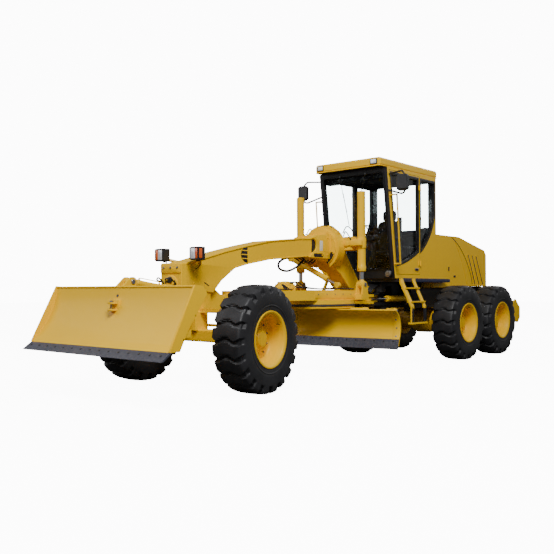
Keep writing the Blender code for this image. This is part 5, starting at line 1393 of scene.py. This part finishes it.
def interiorPieces():
    floor = deckTop + 0.06
    low, high = boxOf("seat")
    y = (low[1] + high[1]) / 2

    def cushion(centre, size, crown, power, tilt=0.0):
        # A closed pad: a squared-off ball whose thickness swells towards its middle by the crown.
        u = np.linspace(-math.pi / 2, math.pi / 2, 25)[:, None]
        v = np.linspace(0, 2 * math.pi, 48, endpoint=False)[None, :]

        def bend(t):
            return np.sign(t) * np.abs(t) ** power

        x, w = bend(np.cos(u)) * bend(np.cos(v)), bend(np.cos(u)) * bend(np.sin(v))
        h = bend(np.sin(u)) + 0 * v
        h = h * (1 + crown * (1 - np.clip(x * x, 0, 1)) * (1 - np.clip(w * w, 0, 1)))
        stitch = np.exp(-((np.abs(x) - 0.62) / 0.035) ** 2) * 0.10
        h = h - np.sign(h) * stitch * (np.abs(h) > 0.6)
        points = np.stack([x * size[0], w * size[1], h * size[2]], -1)
        chunk = gridChunk(points[1:-1])
        return moved((chunk[0] + np.array(centre), chunk[1], 0), tilt, centre, axis="x")

    base = [block((-0.18, y - 0.17, floor + 0.004), (0.18, y + 0.15, floor + 0.10), 0.02, "z", 0.01)]
    for k in range(5):
        z = floor + 0.10 + k * 0.042
        inset = 0.02 if k % 2 else 0.0
        base.append(block((-0.16 + inset, y - 0.15 + inset, z),
            (0.16 - inset, y + 0.14 - inset, z + 0.042), 0.03, "z", 0.012))
    for x in (-1, 1):
        base.append(bar([(x * 0.24, y + 0.19, floor + 0.50), (x * 0.27, y + 0.19, floor + 0.64),
            (x * 0.27, y - 0.02, floor + 0.66)], 0.014, 10, 0.04))
        base.append(block((x * 0.27 - 0.035, y - 0.12, floor + 0.645),
            (x * 0.27 + 0.035, y + 0.14, floor + 0.685), 0.02, "z", 0.014))
    piece("seat_base", "rear", base, plastic)
    pad = piece("seat_cushion", "rear", [cushion((0, y - 0.02, floor + 0.385), (0.255, 0.245, 0.062),
        0.25, 0.42)], seatCloth, ["seat"])
    back = piece("seat_back", "rear", [cushion((0, y + 0.19, floor + 0.72), (0.24, 0.30, 0.058), 0.25,
        0.42, math.radians(90))], seatCloth)
    rest = piece("head_rest", "rear", [cushion((0, y + 0.20, floor + 1.11), (0.13, 0.10, 0.042), 0.2, 0.5,
        math.radians(90))], seatCloth)
    low, high = boxOf("steering_console")
    cy = low[1] + 0.13
    console = [block((-0.16, cy - 0.10, floor + 0.004), (0.16, cy + 0.07, floor + 0.60), 0.05, "z", 0.02)]
    dash = block((-0.23, cy - 0.125, floor + 0.60), (0.23, cy + 0.055, floor + 0.70), 0.035, "z", 0.022)
    console.append(dash)
    for x in (-0.13, 0.0, 0.13):
        console.append(turned([(0.036, 0), (0.038, 0.005), (0.034, 0.009), (0.030, 0.006),
            (0.005, 0.006)], (x, cy + 0.03, floor + 0.697), (0, 0.15, 1), 24, 2))
    aim = np.array([0, 0.504, 0.864])
    hub = np.array([0, cy + 0.055, floor + 0.745])
    column = turned([(0.035, -0.12), (0.028, -0.10), (0.024, 0.03), (0.020, 0.04)], hub, aim, 20)
    console.append(column)
    top = hub + aim * 0.055
    ring = np.linspace(0, 2 * math.pi, 48, endpoint=False)
    a, b = np.array([1.0, 0, 0]), np.cross(aim, [1.0, 0, 0])
    loop = top + 0.172 * (np.cos(ring)[:, None] * a + np.sin(ring)[:, None] * b)
    console.append(carried(circleOf(0.014, 12), loop, aim, closed=True, material=1))
    for t in (0.5, 2.64, 4.71):
        end = top + 0.165 * (math.cos(t) * a + math.sin(t) * b)
        console.append(bar([top, (top + end) / 2 - aim * 0.008, end], 0.009, 8, 0.02, material=1))
    console.append(turned([(0.036, -0.02), (0.040, 0), (0.034, 0.014), (0.008, 0.016)], top, aim, 24, 1))
    levers = []
    for x in (-1, 1):
        for k in range(4):
            foot = np.array([x * (0.10 + 0.04 * k), cy + 0.045, floor + 0.69])
            tip = foot + np.array([x * 0.03, 0.07, 0.12])
            levers.append(bar([foot, (foot + tip) / 2 + [0, -0.01, 0.02], tip], 0.005, 8, 0.02, material=1))
            levers.append(turned([(0.006, -0.02), (0.012, -0.012), (0.014, 0.004), (0.009, 0.016),
                (0.003, 0.018)], tip, tip - foot, 14, 1))
    console += levers
    piece("console", "rear", console, [plastic, hoseRubber, lampFace, chrome],
        ["steering_console"])
    floorMat = [block((-0.64, cab["frontLowY"] + 0.06, floor + 0.0004),
        (0.64, cab["rearY"] - 0.06, floor + 0.010), 0.03, "z", 0.003)]
    floorMat.append(block((-0.60, cab["rearY"] - 0.30, floor + 0.012),
        (0.60, cab["rearY"] - 0.062, floor + 0.78), 0.04, "x", 0.02))
    floorMat.append(block((-0.62, y - 0.50, floor + 0.012), (-0.47, y + 0.28, floor + 0.60), 0.05, "y",
        0.02))
    floorMat.append(block((0.52, y - 0.10, floor + 0.012), (0.62, y + 0.28, floor + 0.50), 0.04, "y", 0.02))
    for x in (-1, 1):
        floorMat.append(block((x * 0.36, y - 0.18, floor + 0.30), (x * 0.50, y + 0.26, floor + 0.52),
            0.03, "y", 0.015))
        floorMat.append(block((x * 0.40, y - 0.14, floor + 0.012), (x * 0.46, y + 0.22, floor + 0.31),
            0.02, "z", 0.01))
        for k in range(3):
            pedal = block((x * (0.10 + 0.07 * k) - 0.025, cab["frontLowY"] + 0.075, floor + 0.05),
                (x * (0.10 + 0.07 * k) + 0.025, cab["frontLowY"] + 0.09, floor + 0.15), 0.01, "y", 0.004)
            floorMat.append(moved(pedal, -0.5, (0, cab["frontLowY"] + 0.08, floor + 0.05), axis="x"))
    piece("cab_floor_fittings", "rear", floorMat, plastic)


interiorPieces()
print("cab made")

# Ladders and walkway.

ladder = {"stile": 0.036, "top": 1.452}


def ladderPieces():
    for side, x in (("left", 1), ("right", -1)):
        low, high = boxOf("ladder_" + side)
        chunks = []
        yLow, yHigh = low[1] + 0.05, high[1] - 0.05
        for y in (yLow, yHigh):
            spine = [(0.775, y, ladder["top"]), (0.787, y, 1.40), (0.985, y, 0.985), (0.985, y, 0.955)]
            path = np.array([spine[0], spine[1], (0.97, y, 1.016), (0.984, y, 0.98), spine[3]])
            chunks.append(carried(roundRect(-ladder["stile"], -0.016, ladder["stile"], 0.016, 0.006, 4),
                path, (1, 0, 0.3)))
            strap = np.array([(0.985, y, 0.99), (0.986, y, 0.86), (0.985, y, 0.73), (0.985, y, 0.712)])
            chunks.append(carried(roundRect(-0.033, -0.008, 0.033, 0.008, 0.004, 3), strap, (1, 0, 0.05),
                material=1))
            for z in (0.975, 0.745):
                chunks.append(bolts([(0.994, y - 0.014, z), (0.994, y + 0.014, z)], (1, 0, 0), 0.007,
                    0.006, material=2))
        for share in (0.30, 0.80):
            z = 1.43 + (0.97 - 1.43) * share
            cx = 0.775 + 0.21 * share
            chunks.append(block((cx - 0.055, yLow, z - 0.012), (cx + 0.045, yHigh, z + 0.012), 0.010, "y",
                0.003))
            chunks.append(block((cx - 0.045, yLow + 0.04, z + 0.012),
                (cx + 0.035, yHigh - 0.04, z + 0.016), 0.010, "y", 0.002, 1))
        chunks.append(block((0.932, low[1] + 0.002, 0.691), (1.018, high[1] - 0.002, 0.718), 0.012, "y",
            0.004))
        chunks.append(block((0.945, low[1] + 0.03, 0.718), (1.008, high[1] - 0.03, 0.7225), 0.010, "y",
            0.002, 1))
        ready = [sided(x, c) for c in chunks]
        piece("steps_" + side, "rear", ready, [yellowPaint, hoseRubber, zinc],
            ["ladder_" + side])


ladderPieces()


def walkwayPieces():
    rearY = cab["rearY"] + 0.42
    front = cab["frontLowY"] + 0.05
    chunks, grips = [], []
    for x in (-1, 1):
        edge = [(x * 0.757, front + 0.008), (x * 0.764, front + 0.004), (x * 0.766, rearY - 0.012),
            (x * 0.757, rearY - 0.006)]
        chunks.append(slab(edge, "z", 1.398, deckTop - 0.0005, 0.004))
        grips.append(block((x * 0.705, front + 0.02, deckTop - 0.001),
            (x * 0.755, rearY - 0.02, deckTop + 0.004), 0.008, "z", 0.0015, 1))
    chunks += grips
    piece("walkway_edges", "rear", chunks, [deckPaint, gripPlate])


walkwayPieces()

# Hood.


hood = {"seam": [(6.16, 2.285), (6.40, 2.17), (6.62, 2.02), (6.84, 1.80), (7.00, 1.56), (7.07, 1.37)]}


def hoodPieces():
    high = boxOf("hood_rear")[1]
    half = high[0]
    top = high[2]
    frontLow, frontHigh = boxOf("hood_front")
    chunks = []
    # Three slanted louvres on each side: a flat black strip, painted shade for the louvre's opening, with a
    # round lip along its front edge.
    for x in (-1, 1):
        for k in range(3):
            yTop, zTop = axleY + 6.86 + k * 0.18, 1.965 - k * 0.01
            slant = 0.31
            length = 0.60 - 0.015 * k
            outline = [(yTop, zTop), (yTop + 0.052, zTop - 0.004), (yTop + 0.052 + slant, zTop - length),
                (yTop + 0.040 + slant, zTop - length - 0.006),
                (yTop + 0.004 + slant, zTop - length + 0.004)]
            side = slab(outline, "x", half - 0.002, half + 0.0016, 0.0008, 1)
            lip = carried(circleOf(0.007, 10), np.array([(half + 0.001, yTop - 0.004, zTop + 0.004),
                (half + 0.001, yTop + slant - 0.006, zTop - length + 0.002)]), (0, 1, 0))
            for chunk in [side, lip]:
                chunks.append(sided(x, chunk))
        seam = np.array([(half + 0.0008, axleY + yy, zz) for yy, zz in hood["seam"]])
        seamLine = carried(circleOf(0.006, 8), smoothPath(seam, 40), (1, 0, 0), material=1)
        chunks.append(sided(x, seamLine))
        latch = [block((half - 0.001, axleY + 6.25, 1.50), (half + 0.006, axleY + 6.33, 1.54), 0.008, "x",
            0.002, 1),
                 block((half - 0.001, axleY + 7.05, 1.355), (half + 0.004, axleY + 7.65, 1.367), 0.004,
                 "x", 0.002, 0)]
        chunks += [sided(x, c) for c in latch]
    # The rear grille: a framed opening with upright bars over a dark core.
    y = high[1]
    chunks.append(slab(roundRect(-0.50, 1.40, 0.50, 1.93, 0.03), "y", y - 0.004, y + 0.0012, 0.001, 1))
    chunks.append(frameStrip(roundRect(-0.50, 1.40, 0.50, 1.93, 0.03), "y", y - 0.002, y + 0.010, 0.022))
    spread = np.linspace(-0.47, 0.47, 33)
    slat = block((-0.0045, y + 0.0005, 1.405), (0.0045, y + 0.0065, 1.925), 0.002, "y", 0.001, 2)
    chunks.append(scattered(slat, np.stack([spread, 0 * spread, 0 * spread], 1)))
    chunks.append(block((-0.49, y + 0.0005, 1.655), (0.49, y + 0.0085, 1.675), 0.004, "y", 0.001, 2))
    for x in (-1, 1):
        chunks.append(block((x * 0.535, y - 0.006, 1.62), (x * 0.590, y + 0.012, 1.80), 0.012, "y", 0.003,
            3))
    piece("hood_trim", "hood_rear", chunks, [yellowPaint, blackPaint, castIron, redLens])
    front = []
    for x in (-1, 1):
        knob = block((frontHigh[0] - 0.001, frontLow[1] + 0.60, 1.62),
            (frontHigh[0] + 0.012, frontLow[1] + 0.63, 1.70), 0.008, "x", 0.003, 1)
        front.append(sided(x, knob))
    # The exhaust's rain cap and clamp, the air cleaner bowl and the fuel cap on the fixed hood.
    stack = np.array([-0.30, frontLow[1] + 0.35, 2.30])
    front.append(turned([(0.051, 0.30), (0.054, 0.305), (0.054, 0.325), (0.051, 0.33)], stack, (0, 0, 1),
        36, 2))
    front.append(turned([(0.066, 0.0), (0.066, 0.006), (0.056, 0.02), (0.052, 0.05)], stack, (0, 0, 1),
        36, 1))
    cap = [(0.030, 0.0), (0.052, 0.001), (0.058, 0.006), (0.058, 0.010), (0.03, 0.012)]
    front.append(turned(cap, stack + [0, 0, 0.379], (0, 0, 1), 32, 1))
    front.append(turned([(0.085, 0.0), (0.088, 0.01), (0.088, 0.10), (0.095, 0.105), (0.095, 0.13),
        (0.07, 0.15), (0.02, 0.152)], (0.28, frontLow[1] + 0.35, top), (0, 0, 1), 40, 1))
    front.append(turned([(0.045, 0.0), (0.048, 0.008), (0.048, 0.022), (0.040, 0.028), (0.01, 0.028)],
        (0.0, frontLow[1] + 0.30, top), (0, 0, 1), 28, 1))
    piece("hood_front_trim", "rear", front, [yellowPaint, blackPaint, zinc])


hoodPieces()


def enginePieces():
    low, high = boxOf("engine_block")
    chunks = []
    for x in (-1, 1):
        for k in range(6):
            y = low[1] + 0.12 + k * 0.17
            chunks.append(block((x * (high[0] - 0.002), y, 1.20), (x * (high[0] + 0.010), y + 0.05, 1.80),
                0.004, "z", 0.003))
        chunks.append(block((x * (high[0] - 0.002), low[1] + 0.05, 1.82),
            (x * (high[0] + 0.06), high[1] - 0.35, 1.90), 0.03, "y", 0.01))
        chunks.append(block((x * 0.34, low[1] + 0.05, 1.08), (x * 0.36, high[1] - 0.05, 1.12), 0.006, "y",
            0.004))
    chunks.append(block((-0.28, low[1] + 0.05, high[2] - 0.002), (0.28, high[1] - 0.30, high[2] + 0.07),
        0.03, "y", 0.012))
    chunks.append(turned([(0.22, 0), (0.23, 0.01), (0.23, 0.05), (0.05, 0.055)],
        (0, low[1] + 0.001, 1.45), (0, -1, 0), 48))
    chunks.append(tube([(0.30, low[1] + 0.1, 1.95), (0.32, low[1] - 0.05, 2.02),
        (0.28, low[1] - 0.18, 2.10), (0.28, low[1] - 0.22, 2.20)], 0.035, 14, 24, material=1))
    piece("engine_trim", "rear", chunks, [castIron, hoseRubber])


enginePieces()
print("hood made")

# Hoses, lines and small fittings.


running = {"pivotY": 0.775, "tandemY": 2.795, "wheelY": (2.055, 3.535), "hubZ": 0.67}


def runningGear():
    lines = []
    # Lines looped along the beam's underside to the saddle.
    for k, (x, drop) in enumerate(((0.10, 0.14), (0.04, 0.10), (-0.04, 0.12))):
        y0, y1 = axleY + 2.22, axleY + 2.52
        lines.append(tube([(x, y0 - 0.10, 1.785), (x, y0, 1.75),
            (x + 0.01, (y0 + y1) / 2, 1.76 - drop * 0.6), (x, y1, 1.745), (x, y1 + 0.04, 1.78)], 0.010,
            10, 40))
    for x in (0.24, 0.285):
        a = np.linspace(math.radians(64), math.radians(140), 12)
        lines.append(tube([(0.375 * math.cos(t) if x < 0.26 else 0.372 * math.cos(t),
            -0.495 - (x - 0.24) * 0.9, 1.95 + 0.372 * math.sin(t)) for t in a], 0.009, 10, 40))
    # Feeds to the lift cylinders' tops.
    for x in (-1, 1):
        lines.append(tube([(x * 0.33, -0.46, 2.13), (x * 0.40, -0.50, 2.20), (x * 0.47, -0.50, 2.12),
            (x * 0.50, -0.47, 2.03)], 0.009, 10, 30))
        lines.append(tube([(x * 0.30, -0.44, 2.18), (x * 0.37, -0.42, 2.29), (x * 0.46, -0.40, 2.22),
            (x * 0.49, -0.37, 2.09)], 0.009, 10, 30))
    loop = [(0.10, axleY + 1.95, 1.77), (0.10, axleY + 1.74, 1.735), (0.10, axleY + 1.62, 1.67),
        (0.10, axleY + 1.64, 1.585), (0.10, axleY + 1.82, 1.555), (0.08, axleY + 2.06, 1.62),
        (0.0, axleY + 2.36, 1.75)]
    lines.append(tube(loop, 0.018, 12, 60))
    piece("saddle_hoses", "front", lines, hoseRubber)
    # The bundle that comes out under the cab's front, looped back to the frame near the hinge.
    bundle = []
    for k in range(7):
        x = 0.10 + 0.028 * k
        z = 1.37 - 0.008 * k
        y = cab["frontLowY"]
        bundle.append(tube([(x, y + 0.22, 1.395), (x, y + 0.06, z),
            (x - 0.02, y - 0.02 - 0.006 * k, z - 0.10), (x - 0.03, y + 0.04, z - 0.15),
            (x - 0.01, y + 0.18, z - 0.12), (x, y + 0.30, z - 0.06)], 0.0125, 10, 44))
        bundle.append(tube([(-x, y + 0.22, 1.395), (-x, y + 0.06, z), (-x + 0.02, y - 0.02, z - 0.09),
            (-x + 0.03, y + 0.05, z - 0.14), (-x, y + 0.30, z - 0.06)], 0.0125, 10, 44))
    bundle.append(block((0.08, cab["frontLowY"] + 0.18, 1.22), (0.31, cab["frontLowY"] + 0.34, 1.392),
        0.03, "x", 0.012, 1))
    bundle.append(block((-0.31, cab["frontLowY"] + 0.18, 1.22), (-0.08, cab["frontLowY"] + 0.34, 1.392),
        0.03, "x", 0.012, 1))
    piece("frame_hoses", "rear", bundle, [hoseRubber, castIron])
    lamp = []
    for x in (0.60, -0.60):
        spot = np.array([x, cab["frontLowY"] - 0.005, 1.535])
        lamp.append(turned([(0.045, 0.0), (0.062, 0.012), (0.066, 0.03), (0.066, 0.062), (0.060, 0.068),
            (0.056, 0.064)], spot, (0, -1, 0), 32, 0))
        lamp.append(turned([(0.057, 0.060), (0.050, 0.066), (0.03, 0.069), (0.005, 0.070)], spot,
            (0, -1, 0), 32, 1))
    piece("work_lamps", "rear", lamp, [blackPaint, zinc])
    # Rails' bolts, axle caps and the tandem cases' covers.
    rear = []
    for x in (-1, 1):
        for y in running["wheelY"]:
            rear.append(turned([(0.155, 0), (0.16, 0.004), (0.16, 0.016), (0.15, 0.022), (0.125, 0.024)],
                (x * 0.843, y, running["hubZ"]), (x, 0, 0), 48))
            ring = np.arange(12) * math.pi / 6
            rear.append(bolts([(x * 0.866, y + 0.138 * math.cos(t),
                running["hubZ"] + 0.138 * math.sin(t)) for t in ring], (x, 0, 0), 0.009, 0.008, material=1))
        rear.append(slab(roundRect(2.36, 0.53, 3.23, 0.81, 0.05), "x", x * 0.844, x * 0.852, 0.003))
        rear.append(bolts([(x * 0.852, y, z) for y in np.linspace(2.42, 3.17, 6) for z in (0.555, 0.785)],
            (x, 0, 0), 0.009, 0.007, material=1))
        rear.append(turned([(0.21, 0), (0.21, 0.03), (0.19, 0.04), (0.162, 0.042)],
            (x * 0.602, running["tandemY"], running["hubZ"]), (-x, 0, 0), 40))
    rear.append(turned([(0.162, -0.20), (0.23, -0.17), (0.25, -0.12), (0.25, 0.12), (0.23, 0.17),
        (0.162, 0.20)], (0, running["tandemY"], running["hubZ"]), (1, 0, 0), 40))
    # The tandem covers and caps take the darker yellow, which is painted shade.
    piece("tandem_trim", "rear", rear, [shadePaint, zinc])
    # The hinge: pin caps with a ring of bolts over and under the forks.
    caps = []
    for z, up in ((1.391, 1), (0.989, -1)):
        caps.append(turned([(0.10, 0), (0.10, 0.012), (0.09, 0.018), (0.03, 0.018)],
            (0, running["pivotY"], z),
            (0, 0, up), 36))
        caps.append(bolts([(0.075 * math.cos(t), running["pivotY"] + 0.075 * math.sin(t),
            z + up * 0.016) for t in np.arange(6) * math.pi / 3], (0, 0, up), 0.009, 0.008, material=1))
    for x in (-1, 1):
        for z, up in ((1.11 + 0.0945, 1), (1.11 - 0.0945, -1)):
            caps.append(turned([(0.038, 0), (0.038, 0.008), (0.032, 0.012), (0.01, 0.012)],
                (x * 0.42, 1.375, z), (0, 0, up), 24, 1))
    # The hinge caps take the darker yellow, which is painted shade.
    piece("hinge_caps", "rear", caps, [shadePaint, zinc])
    # Steering parts on the front axle: end caps on the kingpins, the lean bar's pivots.
    front = []
    for x in (-1, 1):
        for z, up in ((0.82, 1), (0.54, -1)):
            front.append(turned([(0.050, 0), (0.050, 0.006), (0.044, 0.011), (0.015, 0.011)],
                (x * 0.80, axleY, z), (0, 0, up), 28))
        front.append(turned([(0.030, 0), (0.034, 0.004), (0.034, 0.018), (0.028, 0.022), (0.01, 0.022)],
            (x * 0.57, axleY - 0.035 - 0.015, 1.005), (0, -1, 0), 24, 1))
    front.append(turned([(0.075, 0), (0.08, 0.006), (0.08, 0.02), (0.070, 0.028), (0.02, 0.028)],
        (0, axleY - 0.12, 0.88), (0, -1, 0), 36))
    front.append(bolts([(0.055 * math.cos(t), axleY - 0.147,
        0.88 + 0.055 * math.sin(t)) for t in np.arange(4) * math.pi / 2 + 0.785], (0, -1, 0), 0.009,
        0.008, material=1))
    piece("axle_trim", "front", front, [yellowPaint, zinc])
    ripper = []
    for k in range(5):
        x = (k - 2) * 0.48
        ripper.append(bolts([(x + 0.0255, 4.90, 0.81)], (1, 0, 0), 0.016, 0.012, material=1))
        ripper.append(bolts([(x - 0.0255, 4.90, 0.81)], (-1, 0, 0), 0.016, 0.012, material=1))
    for x in (-1, 1):
        ripper.append(turned([(0.045, 0), (0.045, 0.010), (0.038, 0.014), (0.01, 0.014)],
            (x * 0.34, 4.435, 0.86), (x, 0, 0), 28, 1))
        ripper.append(bolts([(x * 1.018, y, z) for y, z in ((4.78, 0.70), (4.78, 0.88), (5.03, 0.72))],
            (x, 0, 0), 0.010, 0.008, material=1))
        ripper.append(block((x * 0.80, 4.966, 0.76), (x * 0.94, 4.975, 0.86), 0.012, "y", 0.003, 2))
    piece("ripper_trim", "ripper", ripper, [yellowPaint, zinc, redLens])


runningGear()
print("fittings made")

# Stage.


studio = {"skyLight": 0.24, "backdrop": 12.0}


def seenRay(tree):
    # One where a ray comes straight from the lens or through glass,
    # so the backdrop shows pale through the windows.
    path = tree.nodes.new("ShaderNodeLightPath")
    bounces = mathNode(tree, "ADD", path.outputs["Diffuse Depth"], path.outputs["Glossy Depth"])
    first = mathNode(tree, "LESS_THAN", bounces, 0.5)
    through = mathNode(tree, "MULTIPLY", path.outputs["Is Transmission Ray"], first)
    return mathNode(tree, "MAXIMUM", path.outputs["Is Camera Ray"], through)


def studioShade(name, dark, pale, glow):
    # The floor: darker where it throws light back up at the machine,
    # pale with soft shadows where it is seen.
    material = bpy.data.materials.new(name)
    material.use_nodes = True
    tree = material.node_tree
    shader = tree.nodes["Principled BSDF"]
    seen = seenRay(tree)
    tree.links.new(mixColours(tree, seen, (dark,) * 3, (pale,) * 3), shader.inputs["Base Color"])
    tree.links.new(rangeNode(tree, seen, 0.0, 1.0, 0.0, glow), shader.inputs["Emission Strength"])
    shader.inputs["Emission Color"].default_value = (1, 1, 1, 1)
    shader.inputs["Roughness"].default_value = 0.9
    shader.inputs["Specular IOR Level"].default_value = 0.0
    return material


def stagePieces():
    grid = np.stack(np.meshgrid(np.linspace(-60, 60, 5), np.linspace(-60, 60, 5), indexing="ij"), -1)
    points = np.dstack([grid, np.zeros(grid.shape[:2])])
    verts, faces, _ = gridChunk(points, closeV=False, caps=False)
    mesh = bpy.data.meshes.new("studioFloor")
    mesh.from_pydata(verts.tolist(), [], [face[::-1] for face in faces])
    floor = bpy.data.objects.new("studioFloor", mesh)
    bpy.context.scene.collection.objects.link(floor)
    mesh.materials.append(studioShade("studioFloorPaint", 0.10, 0.85, 11.0))
    world = bpy.data.worlds.new("studio")
    world.use_nodes = True
    tree = world.node_tree
    seen = seenRay(tree)
    strength = rangeNode(tree, seen, 0.0, 1.0, studio["skyLight"], studio["backdrop"])
    tree.nodes["Background"].inputs[0].default_value = (1.0, 1.0, 1.0, 1)
    tree.links.new(strength, tree.nodes["Background"].inputs[1])
    bpy.context.scene.world = world
    lights = {"keyLight": ((7.5, -8.5, 11), 5.0, 1900), "fillLight": ((-8, -10, 8), 8.0, 350),
        "backLight": ((3, 12, 9), 8.0, 350)}
    for name, (place, size, power) in lights.items():
        light = bpy.data.lights.new(name, "AREA")
        light.energy, light.size = power, size
        lit = bpy.data.objects.new(name, light)
        lit.location = place
        lit.rotation_euler = (Vector((0, 0, 1.2)) - Vector(place)).to_track_quat("-Z", "Y").to_euler()
        bpy.context.scene.collection.objects.link(lit)
    camera = bpy.data.cameras.new("camera")
    camera.sensor_width = 36.0
    camera.lens = 45.97
    camera.clip_end = 300
    eye = bpy.data.objects.new("camera", camera)
    eye.location = (6.9127, -9.8402, 1.2783)
    eye.rotation_mode = "XYZ"
    eye.rotation_euler = (math.radians(91.0), math.radians(0.17), math.radians(40.44))
    bpy.context.scene.collection.objects.link(eye)
    bpy.context.scene.camera = eye


stagePieces()
